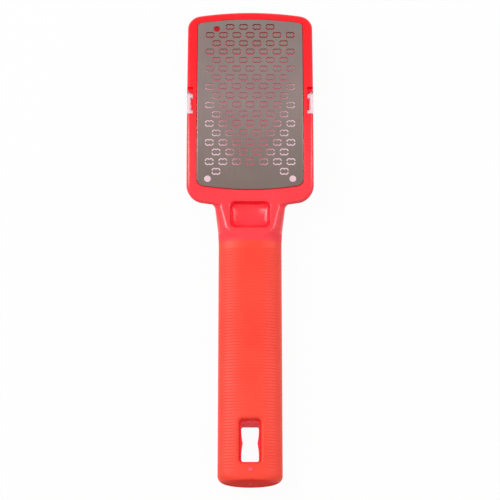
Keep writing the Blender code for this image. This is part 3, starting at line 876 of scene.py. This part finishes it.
def handle_place(y):
    """Half width, top and bottom of the grip over a place along it. It rests on its belly."""
    share = (GRIP_FRONT_Y - y) / GRIP_LENGTH
    if share < BELLY_SHARE:
        bottom = FRONT_RISE * (1 - share / BELLY_SHARE) ** 2
    else:
        bottom = BUTT_RISE * ((share - BELLY_SHARE) / (1 - BELLY_SHARE)) ** 2
    return mixed(GRIP_HALF, BUTT_HALF, share), DECK_HEIGHT - BUTT_DROP * share * share, bottom


def grip_section(y, shrink=0.0, shrink_up=None):
    half_width, top, bottom = handle_place(y)
    top_half = half_width * TOP_SHARE
    return section(y, half_width, top, bottom, top_half, shrink=shrink, shrink_up=shrink_up)


# %% End of the handle
BUTT_ROUND = 2.7 * MM
BUTT_TOP_ROUND = 1.0 * MM
BUTT_LEAN = 0.13
BUTT_FADE = 24 * MM
BUTT_BOW_RADIUS = 110 * MM
BUTT_TURNS = 10
END_SHRINKS = (0.15, 0.45, 0.75)


def butt_shift(x, z):
    """How far the end face lies forward: it is bowed in plan and leans forward at its top."""
    return sagitta(x, BUTT_BOW_RADIUS) + max(z - BUTT_RISE, 0) * BUTT_LEAN


def grip_rings(shrink, end_y, front_y, spacing):
    """Rings of the handle from its end face, over a rounded edge, to its front."""
    face = grip_section(end_y, shrink + BUTT_ROUND, shrink + BUTT_TOP_ROUND)
    middle = sum(z for _, _, z in face) / len(face)
    rings = []
    for size in END_SHRINKS:
        ring = [(x * size, mixed(middle, z, size)) for x, _, z in face]
        rings.append([(x, end_y + butt_shift(x, z), z) for x, z in ring])
    for left, rise in rounding(1, BUTT_TURNS):
        y = end_y + BUTT_ROUND * rise
        ring = grip_section(y, shrink + BUTT_ROUND * left, shrink + BUTT_TOP_ROUND * left)
        rings.append([(x, y + butt_shift(x, z), z) for x, y, z in ring])
    start = end_y + BUTT_ROUND
    count = round((front_y - start) / spacing)
    for y in steps(start, front_y, count)[1:] + [front_y]:
        left = max(1 - (y - start) / BUTT_FADE, 0)
        rings.append([(x, y + left * butt_shift(x, z), z) for x, y, z in grip_section(y, shrink)])
    return rings


# %% Handle core
GRIP_WALL = 2.2 * MM
GRIP_END_WALL = 2.6 * MM
CORE_SPACING = 4 * MM
COLLAR_STEPS = 8
NECK_SPACING = 0.25 * MM
core_end = BUTT_Y + GRIP_END_WALL + FIT_GAP
core_rings = grip_rings(GRIP_WALL, core_end, COLLAR_BACK_Y, CORE_SPACING)
core_rings += [collar_section(y) for y in steps(COLLAR_BACK_Y, COLLAR_FRONT_Y, COLLAR_STEPS)]
core_rings += [collar_section(COLLAR_FRONT_Y)]
neck_count = round((NECK_FRONT_Y - COLLAR_FRONT_Y) / NECK_SPACING)
neck_stations = steps(COLLAR_FRONT_Y, NECK_FRONT_Y, neck_count)[1:] + [NECK_FRONT_Y]
core_rings += [neck_section(y) for y in neck_stations]
combine(frame_piece, "UNION", loft("core", core_rings))
report_faces("frame with neck and core", frame_piece)

# %% [markdown]
# ## Thumb pocket
# The hollow in the neck is where the thumb presses. Its brim is a rounded rectangle, and its walls
# slope in to a level floor that is narrower at the handle's end. Along its sides the walls end in a
# wide sloped foot, which catches the light. The cutter is a loft down that profile, flared at the
# brim, so that the cut edge comes out rounded: a bevel could round it too, but not evenly where the
# brim meets the sloping neck.

# %% Brim, walls and floor of the pocket
POCKET_HALF = 9.3 * MM
POCKET_FLOOR_HALF = 7.5 * MM
POCKET_FLOOR_BACK_HALF = 6.4 * MM
POCKET_SIDE_FOOT = 0.9 * MM
POCKET_END_FOOT = 0.35 * MM
POCKET_FOOT_SLOPE = math.tan(math.radians(25))
POCKET_FRONT_WALL = 1.6 * MM
POCKET_BACK_WALL = 2.4 * MM
POCKET_BACK_Y = COLLAR_FRONT_Y + 1.6 * MM
POCKET_FRONT_Y = HEAD_END_Y + 2.2 * MM
POCKET_CORNER = 2.4 * MM
POCKET_DEPTH = 4.5 * MM


def slot(half_width, low, high, corner, side=()):
    """A rounded rectangle on the axis, with any points of its own up its side."""
    half = [(0, low), *corner_arc(half_width - corner, low + corner, corner, -math.pi / 2), *side]
    half += corner_arc(half_width - corner, high - corner, corner, 0)
    return mirrored(half + [(half_width - corner, high), (0, high)])


def pocket_ring(grow, inward, downward, foot=0.0):
    """A ring of the cutter: from the brim (0, 0) down the wall (1, 1), then over the foot."""
    back, front = POCKET_BACK_Y - grow, POCKET_FRONT_Y + grow
    outline = slot(POCKET_HALF + grow, back, front, POCKET_CORNER + grow)
    low, high = POCKET_BACK_Y + POCKET_BACK_WALL, POCKET_FRONT_Y - POCKET_FRONT_WALL
    floor_shape = slot(POCKET_FLOOR_HALF, low, high, POCKET_CORNER)
    floor_z = DECK_HEIGHT - POCKET_DEPTH
    ring = []
    for (x, y), (floor_x, floor_y) in zip(outline, floor_shape):
        along_floor = (floor_y - low) / (high - low)
        floor_x *= mixed(POCKET_FLOOR_BACK_HALF, POCKET_FLOOR_HALF, along_floor) / POCKET_FLOOR_HALF
        brim, ground = Vector((x, y)), Vector((floor_x, floor_y))
        outwards = (brim - ground).normalized()
        foot_width = mixed(POCKET_END_FOOT, POCKET_SIDE_FOOT, abs(outwards.x))
        wall_foot = ground + outwards * foot_width
        place = brim.lerp(wall_foot, inward).lerp(ground, foot)
        brim_z = neck_top(min(place.y, NECK_FRONT_Y))
        wall_z = mixed(brim_z, floor_z + foot_width * POCKET_FOOT_SLOPE, downward)
        ring.append((*place, mixed(wall_z, floor_z, foot)))
    return ring


# %% Thumb pocket
BRIM_ROUND = 0.9 * MM
BRIM_TURNS = 4
# How far in, and how far down, the wall has come at each ring. The foot has shares of its own.
POCKET_WALL_SHARES = ((0.0, 0.14), (0.34, 0.60), (0.66, 0.88), (0.88, 0.975), (1.0, 1.0))
POCKET_FOOT_SHARES = (0.1, 0.85, 1.0)
pocket_rings = [[(x, y, z + OVERRUN) for x, y, z in pocket_ring(BRIM_ROUND, 0, 0)]]
for grow, drop in rounding(BRIM_ROUND, BRIM_TURNS):
    pocket_rings.append([(x, y, z - drop) for x, y, z in pocket_ring(grow, 0, 0)])
pocket_rings += [pocket_ring(0, *shares) for shares in POCKET_WALL_SHARES]
pocket_rings += [pocket_ring(0, 1, 1, share) for share in POCKET_FOOT_SHARES]
combine(frame_piece, "DIFFERENCE", loft("pocket", pocket_rings))
report_faces("pocket cut", frame_piece)

# %% [markdown]
# ## Notches, catch nubs, hang hole and pins
# A notch at each side of the head, narrower at its top, lets a clip of the tray come up. A nub in
# it is what the clip straddles, and a sunk sill closes it in front of the clip. The hang hole goes
# through the core: a slot that is pinched at its middle, most at the top, and opens out with depth.
# Two small locating pins show on the sleeve's top and on its end. All of them could be worked into
# the rings of the head and the core, but those would then need uneven counts of points, so each is
# a small block or loft that a boolean cuts out or joins on.

# %% Places of the clips and notches
NOTCH_X = HEAD_HALF - FRAME_WALL - FIT_GAP
NOTCH_TOP_X = HEAD_HALF - 2.9 * MM
NOTCH_SPARE = 1.6 * MM
CLIP_BACK_Y = HEAD_END_Y + 45.7 * MM
CLIP_FRONT_Y = CLIP_BACK_Y + 9.8 * MM
CLIP_LEVEL = rim_top((CLIP_BACK_Y + CLIP_FRONT_Y) / 2)
CLIP_GUSSET = 2.2 * MM
CLIP_BAR = 1.5 * MM
CLIP_PRONG = 1.8 * MM
CLIP_PROUD = 0.05 * MM
CLIP_GAP = 0.12 * MM


def mirror_range(side, inner, outer):
    return sorted((side * inner, side * outer))


# %% Sills
SILL_SUNK = 2.8 * MM
SILL_SPARE = 0.05 * MM


def prisms(name, outlines, low, high):
    """Flat outlines, each raised from one height to another."""
    points, faces = [], []
    for outline in outlines:
        start, count = len(points), len(outline)
        points += [(x, y, z) for z in (low, high) for x, y in outline]
        foot, top = range(start, start + count), range(start + count, start + 2 * count)
        for i in range(count):
            after = (i + 1) % count
            faces.append((foot[i], foot[after], top[after], top[i]))
        faces += [tuple(foot), tuple(top)]
    return outward(name, points, faces)


def notch_sill(side):
    """The sunk red sill that closes the notch in front of the clip's gusset."""
    inner, back = HEAD_HALF - FRAME_WALL + SILL_SPARE, CLIP_FRONT_Y + FIT_GAP
    front = CLIP_FRONT_Y + CLIP_GUSSET + NOTCH_SPARE + FIT_GAP
    outline = [(inner, back), (NOTCH_X + CLIP_BAR / 2, back), (HEAD_HALF, back + CLIP_GUSSET),
               (HEAD_HALF, front), (inner, front)]
    outline = [(side * x, y) for x, y in outline]
    return prisms("sill", [outline], CLIP_LEVEL - FRAME_DEPTH + FIT_GAP, CLIP_LEVEL - SILL_SUNK)


# %% Notches and nubs
NUB_SUNK = 1.0 * MM
NUB_ROUND = 0.25 * MM
along_notch = (CLIP_BACK_Y - CLIP_GAP, CLIP_FRONT_Y + CLIP_GUSSET + NOTCH_SPARE)
along_nub = (CLIP_BACK_Y + CLIP_PRONG + FIT_GAP, CLIP_FRONT_Y - CLIP_PRONG - FIT_GAP)
nub_heights = (CLIP_LEVEL - FRAME_FLANGE + FIT_GAP, CLIP_LEVEL - NUB_SUNK)
for side in (-1, 1):
    for inner, top in ((NOTCH_TOP_X, DECK_HEIGHT + OVERRUN), (NOTCH_X, CLIP_LEVEL - FRAME_FLANGE)):
        out = mirror_range(side, inner, HEAD_HALF + OVERRUN)
        combine(frame_piece, "DIFFERENCE", block(out, along_notch, (-OVERRUN, top)))
    out = mirror_range(side, NOTCH_X - FIT_GAP, HEAD_HALF + CLIP_PROUD - CLIP_BAR - FIT_GAP)
    nub = bevelled(block(out, along_nub, nub_heights), NUB_ROUND)
    combine(frame_piece, "UNION", nub, notch_sill(side))
report_faces("frame with notches and nubs", frame_piece)

# %% Hang hole
HOLE_BACK_Y = BUTT_Y + 10.7 * MM
HOLE_FRONT_Y = HOLE_BACK_Y + 19.0 * MM
HOLE_HALF = 4.1 * MM
HOLE_CORNER = 1.0 * MM
HOLE_DRAFT = 0.095
HOLE_LEVELS = 16
WAIST_HALF = 3.35 * MM
WAIST_LENGTH = 14 * MM
WAIST_DROP = 1.0 * MM
WAIST_SUNK = 3 * MM
WAIST_FADE = 9 * MM
WAIST_STEPS = 24


def hole_ring(height):
    """The hole at a height. With depth, its waist opens out and its front wall comes back."""
    depth = max(DECK_HEIGHT - WAIST_SUNK - height, 0)
    waist = mixed(WAIST_HALF, HOLE_HALF, smooth(depth / WAIST_FADE))
    front_y = HOLE_FRONT_Y - min(depth, DECK_HEIGHT) * HOLE_DRAFT
    middle = (HOLE_BACK_Y + HOLE_FRONT_Y) / 2 - WAIST_DROP
    side = []
    for share in steps(-1, 1, WAIST_STEPS) + [1]:
        half_width = mixed(waist, HOLE_HALF, 1 - (1 - abs(share)) ** 2)
        side.append((half_width, middle + share * WAIST_LENGTH / 2))
    outline = slot(HOLE_HALF, HOLE_BACK_Y, front_y, HOLE_CORNER, side)
    return [(x, y, height) for x, y in outline]


hole_heights = [-OVERRUN, *steps(0, DECK_HEIGHT, HOLE_LEVELS), DECK_HEIGHT + OVERRUN]
combine(frame_piece, "DIFFERENCE", loft("hang_hole", [hole_ring(z) for z in hole_heights]))
report_faces("hang hole cut", frame_piece)

# %% Pins
PIN_Y = BUTT_Y + 7.1 * MM
PIN_RADIUS = 1.15 * MM
PIN_EDGE = 0.1 * MM
PIN_DISH = 0.12 * MM
PIN_DISH_SHARES = (0.55, 0.3)
PIN_SIDES = 32
END_PIN_RADIUS = 0.9 * MM
END_PIN_SUNK = 0.1 * MM
END_PIN_LENGTH = 5 * MM


def disc(radius):
    angles = steps(0, 2 * math.pi, PIN_SIDES)
    return [(radius * math.cos(a), radius * math.sin(a)) for a in angles]


def pin_profile(radius, foot, head):
    """Radii and places along a pin with a dished head."""
    brim, dish = (radius * share for share in PIN_DISH_SHARES)
    return ((radius, foot), (radius, head - PIN_EDGE), (radius - PIN_EDGE, head), (brim, head),
            (dish, head - PIN_DISH))


_, pin_top, pin_bottom = handle_place(PIN_Y)
PIN_LEVEL = (pin_top + pin_bottom) / 2
upright = [[(x, PIN_Y + y, z) for x, y in disc(radius)]
           for radius, z in pin_profile(PIN_RADIUS, PIN_LEVEL, pin_top)]
end_pin_y = BUTT_Y + butt_shift(0, PIN_LEVEL) + END_PIN_SUNK
lying = [[(x, end_pin_y - place, PIN_LEVEL + z) for x, z in disc(radius)]
         for radius, place in pin_profile(END_PIN_RADIUS, -END_PIN_LENGTH, 0)]
combine(frame_piece, "UNION", loft("top_pin", upright), loft("end_pin", lying))
report_faces("frame finished", frame_piece)

# %% [markdown]
# ## Soft sleeve
# The sleeve is moulded over the core. Fine ribs run across it, fade out at its flanks, are worn
# shallower towards the hang hole, and leave a smooth pad round it. A dense loft gives the body, and
# a Geometry Nodes tree presses the grooves between the ribs, so that pitch, depth and the pad are
# named inputs that can be tried out. A bump map would be lighter, but would not show in the
# outline.

# %% Helpers for geometry trees


def end_geometry(tree, given, geometry):
    """Ends a geometry tree with real geometry in the material that it is given."""
    real = node(tree, "GeometryNodeRealizeInstances", {"Geometry": geometry}).outputs[0]
    values = {"Geometry": real, "Material": given["Material"]}
    coloured = node(tree, "GeometryNodeSetMaterial", values).outputs[0]
    end_tree(tree, {"Geometry": coloured}, "Geometry")


def run_tree(target, tree, values):
    """Applies a geometry tree to an object, with its inputs set by their identifiers."""
    modifier = target.modifiers.new(tree.name, "NODES")
    modifier.node_group = tree
    for item in tree.interface.items_tree:
        if item.in_out == "INPUT" and item.name in values:
            modifier[item.identifier] = values[item.name]
    applied(target)


# %% Ribs as a Geometry Nodes tree
RIB_SIZES = {
    "Pitch": 1.4 * MM, "Depth": 0.15 * MM, "Fade": 0.9 * MM, "Flank": 13.4 * MM,
    "Front": GRIP_FRONT_Y - 3.4 * MM, "Back": BUTT_Y + 6.0 * MM,
    "Pad Half Width": 6.9 * MM, "Pad Front": HOLE_FRONT_Y + 3.2 * MM,
    "Worn Share": 0.5, "Worn Reach": 45 * MM,
}
ribs, size = new_tree(
    "sleeve_ribs", "Geometry", {"Geometry": "Geometry", **RIB_SIZES, "Material": "Material"}
)
x, along, _ = parted(ribs, node(ribs, "GeometryNodeInputPosition").outputs[0])
from_axis = calc(ribs, "ABSOLUTE", x)
turn = (along - size["Front"]) / size["Pitch"] * (2 * math.pi)
groove = calc(ribs, "COSINE", turn) * -0.5 + 0.5


def past(value, edge, direction):
    """0 on the near side of an edge, and 1 past it, with a soft change."""
    return ramp(ribs, value, size["Fade"] * -direction + edge, edge)


pad_half, pad_front = size["Pad Half Width"], size["Pad Front"]
beside_pad = ramp(ribs, from_axis, pad_half, pad_half + size["Fade"])
before_pad = ramp(ribs, along, pad_front, pad_front + size["Fade"])
unworn_y = pad_front + size["Worn Reach"]
kept = calc(ribs, "MAXIMUM", beside_pad, before_pad)
kept = kept * ramp(ribs, along, pad_front, unworn_y, size["Worn Share"], 1.0)
for value, label, direction in ((from_axis, "Flank", 1), (along, "Front", 1), (along, "Back", -1)):
    kept = kept * (1.0 - past(value, size[label], direction))
normal = node(ribs, "GeometryNodeInputNormal").outputs[0]
press = {0: normal, "Scale": groove * kept * (size["Depth"] * -1.0)}
offset = node(ribs, "ShaderNodeVectorMath", press, operation="SCALE").outputs[0]
moved = node(ribs, "GeometryNodeSetPosition", {"Geometry": size["Geometry"], "Offset": offset})
end_geometry(ribs, size, moved.outputs[0])
print("ribs:", len(ribs.nodes), "nodes")

# %% Sleeve
SLEEVE_SPACING = 0.235 * MM
SLEEVE_SHARP_ANGLE = 60
sleeve_rings = grip_rings(0, BUTT_Y, GRIP_FRONT_Y, SLEEVE_SPACING)
grip_piece = new_object("grip_sleeve", loft("grip_sleeve", sleeve_rings))
shaded(grip_piece.data, SLEEVE_SHARP_ANGLE)
run_tree(grip_piece, ribs, {"Material": soft_red})
report_faces("ribbed sleeve", grip_piece)

# %% Hollow, opening and pin holes of the sleeve
HOLE_LIP = 0.8 * MM
LIP_CORNER = 1.6 * MM
LIP_ROLL = 1.9 * MM
LIP_TURNS = 8
PIN_GAP = 0.03 * MM
STRAIGHT = 1e-9


def sleeve_top(x, y):
    """Height of the sleeve's top, which falls away from its middle as a rounded corner."""
    half_width, top, bottom = handle_place(y)
    control, end = half_width * TOP_SHARE, half_width * (TOP_SHARE + 1) / 2
    fall = (top - bottom) * (1 - FLANK_SHARE) / 4
    curve = end - 2 * control
    if abs(curve) < STRAIGHT:
        t = abs(x) / (2 * control)
    else:
        t = (math.sqrt(control * control + curve * abs(x)) - control) / curve
    return top - t * t * fall


def opening_ring(grow, depth):
    low, high = HOLE_BACK_Y - HOLE_LIP / 2 - grow, HOLE_FRONT_Y + HOLE_LIP / 2 + grow
    outline = slot(HOLE_HALF + HOLE_LIP + grow, low, high, LIP_CORNER + grow)
    return [(x, y, sleeve_top(x, y) - depth) for x, y in outline]


rolled = [opening_ring(LIP_ROLL, -OVERRUN)]
rolled += [opening_ring(grow, depth) for grow, depth in rounding(LIP_ROLL, LIP_TURNS)]
rolled.append([(x, y, -OVERRUN) for x, y, _ in opening_ring(0, 0)])
hollow_ends = (BUTT_Y + GRIP_END_WALL, GRIP_FRONT_Y + OVERRUN)
hollow = loft("hollow", grip_rings(GRIP_WALL - FIT_GAP, *hollow_ends, CORE_SPACING))
pin_hole = loft("pin_hole", [[(x, PIN_Y + y, z) for x, y in disc(PIN_RADIUS + PIN_GAP)]
                             for z in (PIN_LEVEL, DECK_HEIGHT + OVERRUN)])
end_hole = loft("end_hole", [[(x, y, PIN_LEVEL + z) for x, z in disc(END_PIN_RADIUS + PIN_GAP)]
                             for y in (BUTT_Y - OVERRUN, BUTT_Y + END_PIN_LENGTH)])
combine(grip_piece, "DIFFERENCE", hollow, loft("opening", rolled), pin_hole, end_hole)
report_faces("sleeve cut", grip_piece)

# %% [markdown]
# ## Rasp sheet
# The sheet is cut flat and then bent, as in a press. A tooth is a pair of facing slits, each the
# outline of two arcs that meet in a cusp, which leave a small island held by a bridge at each end.
# Geometry Nodes set out the staggered rows, place the slit cutter on each, cut the sheet, and bend
# it to the arc of the head. Cutting first keeps each slit the same shape, wherever it ends up.

# %% Slit cutter
TOOTH_ARC_HALF_WIDTH = 1.15 * MM
TOOTH_ARC_HEIGHT = 1.48 * MM
TOOTH_OFFSET = 0.8 * MM
SLIT_WIDTH = 0.6 * MM
BRIDGE_ANGLE = math.radians(14)
ARC_POINTS = 6
ON_AXIS = 1e-6
CUTTER_REACH = 2 * MM


def slit_edge(grow, cusp):
    """One edge of a slit: two arcs that meet in a cusp at the tooth's middle."""
    points = []
    for i in range(ARC_POINTS):
        angle = mixed(math.pi - BRIDGE_ANGLE, cusp, i / (ARC_POINTS - 1))
        x = (TOOTH_ARC_HALF_WIDTH + grow) * math.cos(angle) - TOOTH_OFFSET
        points.append((x, (TOOTH_ARC_HEIGHT + grow) * math.sin(angle)))
    other = points if points[-1][0] < -ON_AXIS else points[:-1]
    return points + [(-x, y) for x, y in reversed(other)]


def slit_outline(side):
    grow = SLIT_WIDTH / 2
    outer = slit_edge(grow, math.acos(TOOTH_OFFSET / (TOOTH_ARC_HALF_WIDTH + grow)))
    inner = slit_edge(-grow, math.acos(TOOTH_OFFSET / TOOTH_ARC_HALF_WIDTH))
    return [(x, side * y) for x, y in outer + inner[::-1]]


def cutter(name, outlines):
    return new_object(name, prisms(name, outlines, -CUTTER_REACH, CUTTER_REACH))


slit_cutter = cutter("slit_cutter", [slit_outline(1), slit_outline(-1)])
report_faces("slit cutter", slit_cutter)

# %% Round holes of the sheet
ROW_PITCH = 4.75 * MM
COLUMN_PITCH = 6.5 * MM
ROWS = 17
COLUMNS = 7
ROUND_HOLE_RADIUS = 1.6 * MM
LOW_HOLE = (PLATE_HALF - 5.1 * MM, -3.6 * MM)
TIP_HOLE = (-2.5 * COLUMN_PITCH, (ROWS - 1) * ROW_PITCH - 1.2 * MM)
hole_places = ((-LOW_HOLE[0], LOW_HOLE[1]), LOW_HOLE, TIP_HOLE)
hole_cutter = cutter(
    "hole_cutter", [[(x + u, y + v) for u, v in disc(ROUND_HOLE_RADIUS)] for x, y in hole_places]
)
print("round holes:", len(hole_places))

# %% The tree of the teeth
ALMOST = 0.1
teeth, size = new_tree("rasp_teeth", "Geometry", {
    "Geometry": "Geometry", "Row Pitch": ROW_PITCH, "Column Pitch": COLUMN_PITCH,
    "Bend Radius": RASP_RADIUS, "Start Slope": LAST_ROW_SLOPE, "Crest Y": CREST_Y,
    "Crest Z": CREST_Z, "Slit": "Object", "Holes": "Object", "Material": "Material",
})
grid = node(teeth, "GeometryNodeMeshGrid", {
    "Size X": size["Column Pitch"] * (COLUMNS - 1), "Size Y": size["Row Pitch"] * (ROWS - 1),
    "Vertices X": COLUMNS, "Vertices Y": ROWS,
}).outputs[0]
index = Number(teeth, node(teeth, "GeometryNodeInputIndex").outputs[0])
row = calc(teeth, "MODULO", index, ROWS)
column = calc(teeth, "FLOOR", (index + 0.5) / ROWS)


def equals(value, number):
    """1 where a whole number has a value, and 0 elsewhere."""
    return calc(teeth, "COMPARE", value, number, ALMOST)


def mesh_of(label):
    """The mesh of an object that the tree is given."""
    return node(teeth, "GeometryNodeObjectInfo", {"Object": size[label]}).outputs["Geometry"]


# %% Staggered rows
# Even rows move over by half a pitch and lose their last tooth. The first row keeps only its
# outermost teeth, and the last row loses them.
even_row = equals(calc(teeth, "MODULO", row, 2), 0)
outermost = equals(column, 0) + equals(column, COLUMNS - 2)
left_out = even_row * equals(column, COLUMNS - 1)
for mask in (equals(row, 0) * (1.0 - outermost), equals(row, ROWS - 1) * outermost):
    left_out = calc(teeth, "MAXIMUM", left_out, mask)
half_pitch = even_row * size["Column Pitch"] * 0.5
shift = joined(teeth, half_pitch, size["Row Pitch"] * ((ROWS - 1) / 2), 0.0)
staggered = node(teeth, "GeometryNodeSetPosition", {"Geometry": grid, "Offset": shift})
kept = {"Mesh": staggered.outputs[0], "Selection": calc(teeth, "LESS_THAN", left_out, 0.5)}
points = node(teeth, "GeometryNodeMeshToPoints", kept).outputs[0]
slits = {"Points": points, "Instance": mesh_of("Slit")}
placed = node(teeth, "GeometryNodeInstanceOnPoints", slits).outputs[0]
real = node(teeth, "GeometryNodeRealizeInstances", {0: placed}).outputs[0]
cutters = node(teeth, "GeometryNodeJoinGeometry")
for part in (real, mesh_of("Holes")):
    teeth.links.new(part, cutters.inputs[0])
meshes = {"Mesh 1": size["Geometry"], "Mesh 2": cutters.outputs[0]}
cut_sheet = node(teeth, "GeometryNodeMeshBoolean", meshes, operation="DIFFERENCE", solver="EXACT")
print("cut sheet:", len(teeth.nodes), "nodes so far")

# %% The bend
x, y, z = parted(teeth, node(teeth, "GeometryNodeInputPosition").outputs[0])
angle = y / size["Bend Radius"] - size["Start Slope"]
radius = size["Bend Radius"] + z
bent_y = radius * calc(teeth, "SINE", angle) + size["Crest Y"]
bent_z = radius * calc(teeth, "COSINE", angle) + (size["Crest Z"] - size["Bend Radius"])
bent = {"Geometry": cut_sheet.outputs[0], "Position": joined(teeth, x, bent_y, bent_z)}
curved = node(teeth, "GeometryNodeSetPosition", bent).outputs[0]
flat = {"Geometry": curved, "Shade Smooth": False}
end_geometry(teeth, size, node(teeth, "GeometryNodeSetShadeSmooth", flat).outputs[0])
print("teeth:", len(teeth.nodes), "nodes")

# %% Rasp sheet
STRIPS_PER_ROW = 4
STRIP_SHIFT = 0.1 * MM
SHEET_EDGE = 0.16 * MM


def along_arc(y):
    """Distance from the last row, measured over the arc."""
    return RASP_RADIUS * (math.asin((y - CREST_Y) / RASP_RADIUS) + LAST_ROW_SLOPE)


def flat_sheet():
    """The blank sheet, its upper edge dulled, split into strips so that it bends evenly."""
    dulled = -SHEET_EDGE / 3
    profile = ((0, -PLATE_THICKNESS), (0, -SHEET_EDGE), (dulled, dulled), (-SHEET_EDGE, 0))
    rings = [[(x, along_arc(y), z) for x, y in plate_outline(grow)] for grow, z in profile]
    mesh = loft("rasp_sheet", rings)
    place = along_arc(PLATE_END_Y) // ROW_PITCH * ROW_PITCH + STRIP_SHIFT
    with editing(mesh) as shape:
        while place < along_arc(PLATE_TIP_Y):
            whole = shape.verts[:] + shape.edges[:] + shape.faces[:]
            plane = {"plane_co": (0, place, 0), "plane_no": (0, 1, 0)}
            bmesh.ops.bisect_plane(shape, geom=whole, **plane)
            place += ROW_PITCH / STRIPS_PER_ROW
    return mesh


sheet_piece = new_object("rasp_sheet", flat_sheet())
run_tree(sheet_piece, teeth, {"Slit": slit_cutter, "Holes": hole_cutter, "Material": steel})
for helper in (slit_cutter, hole_cutter):
    bpy.data.objects.remove(helper)
places = [vertex.co.y for vertex in sheet_piece.data.vertices]
report_faces("rasp sheet", sheet_piece)
print("sheet along the tool:", min(places), max(places), "packed:", plate_low.y, plate_high.y)

# %% [markdown]
# ## Shavings tray
# The tray is one clear moulding: a cup whose mouth sits inside the head's skirt and whose walls
# draw in to a flat floor, with a clip at each side that comes up through the notch. The cup is a
# loft of plan outlines, and the clips are bevelled prisms joined to it by a web. A Solidify
# modifier could give the cup its wall, but the loft keeps the wall even round the tight corners.

# %% Cup of the tray
TRAY_MARGIN = FRAME_WALL + 0.4 * MM
TRAY_WALL = 1.4 * MM
TRAY_FLOOR = 1.5 * MM
TRAY_DRAFT = 3.0 * MM
TRAY_END_DRAFT = 6.0 * MM
TRAY_EDGE_ROUND = 2.0 * MM
OUTER_TURNS = 6
INNER_TURNS = 4


def tray_outline(inset, end_inset):
    corners = (FRAME_END_CORNER - TRAY_MARGIN, FRAME_TIP_CORNER - TRAY_MARGIN)
    ends = (HEAD_END_Y + TRAY_MARGIN + end_inset, TIP_Y - TRAY_MARGIN - inset)
    return head_outline(HEAD_HALF - TRAY_MARGIN - inset, *ends, *corners)


def cup_rings(wall, level, radius, count):
    """Rings up the rounded foot of the cup's outer or inner side."""
    rings = []
    for inset, rise in rounding(radius, count):
        inset += wall
        outline = tray_outline(TRAY_DRAFT + inset, TRAY_END_DRAFT + inset)
        rings.append([(x, y, level + rise) for x, y in outline])
    return rings


def tray_cup():
    outer, inner = tray_outline(0, 0), tray_outline(TRAY_WALL, TRAY_WALL)
    mouth = FRAME_FLANGE + FIT_GAP
    rings = cup_rings(0, 0, TRAY_EDGE_ROUND, OUTER_TURNS)
    rings += [over_foot(outer), under_rim(outer, mouth), under_rim(inner, mouth), over_foot(inner)]
    rings += reversed(cup_rings(TRAY_WALL, TRAY_FLOOR, TRAY_WALL, INNER_TURNS))
    return loft("shavings_tray_cup", rings)


tray_piece = new_object("shavings_tray_cup", tray_cup())
report_faces("tray cup", tray_piece)

# %% Clips of the tray
CLIP_SUNK = 0.6 * MM
CLIP_DEPTH = 8.5 * MM
CLIP_WEB = 2.5 * MM
CLIP_ROUND = 0.2 * MM
WEB_ROUND = 0.15 * MM


def clip_outline(side):
    """A clip in plan: an outer bar, two prongs that reach inwards, and a gusset at its front."""
    outer = HEAD_HALF + CLIP_PROUD
    inner, reach = outer - CLIP_BAR, NOTCH_TOP_X + CLIP_GAP
    back, front = CLIP_BACK_Y, CLIP_FRONT_Y
    shape = [(outer, back), (outer, front + CLIP_GUSSET), (reach + CLIP_BAR / 2, front)]
    shape += [(reach, front), (reach, front - CLIP_PRONG), (inner, front - CLIP_PRONG)]
    shape += [(inner, back + CLIP_PRONG), (reach, back + CLIP_PRONG), (reach, back)]
    return [(side * x, y) for x, y in shape]


clip_top, clip_foot = CLIP_LEVEL - CLIP_SUNK, CLIP_LEVEL - CLIP_DEPTH
for side in (-1, 1):
    clip = bevelled(prisms("clip", [clip_outline(side)], clip_foot, clip_top), CLIP_ROUND)
    web_x = mirror_range(side, HEAD_HALF - TRAY_MARGIN - TRAY_WALL / 2, HEAD_HALF - CLIP_BAR / 2)
    web = block(web_x, (CLIP_BACK_Y, CLIP_FRONT_Y), (clip_foot, clip_foot + CLIP_WEB))
    combine(tray_piece, "UNION", clip, bevelled(web, WEB_ROUND))
report_faces("tray with its clips", tray_piece)

# %% [markdown]
# ## Hand-over
# Each piece stands for its imported node, rides on that node's body, and takes its material. The
# tray rides on its own body, because it comes off. Edges sharper than a piece's angle stay crisp,
# and the sheet stays flat shaded, as cut metal is.

# %% Hand-over
CRISP_ANGLE = 32
SOFT_ANGLE = 50
PIECES = (
    (frame_piece, "tool", "frame", hard_red, "red_plastic", CRISP_ANGLE),
    (sheet_piece, "tool", "rasp_plate", steel, "steel", None),
    (grip_piece, "tool", "grip", soft_red, "soft_red", SOFT_ANGLE),
    (tray_piece, "tray", "shavings_tray", clear_plastic, "clear_plastic", CRISP_ANGLE),
)
for piece, body, packed, material, slot_name, sharp_angle in PIECES:
    mesh = piece.data
    mesh.materials.clear()
    mesh.materials.append(material)
    if sharp_angle:
        shaded(mesh, sharp_angle)
    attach(piece, body)
    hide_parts(packed)
    mesh.calc_loop_triangles()
    print(piece.name, len(mesh.loop_triangles), "triangles")
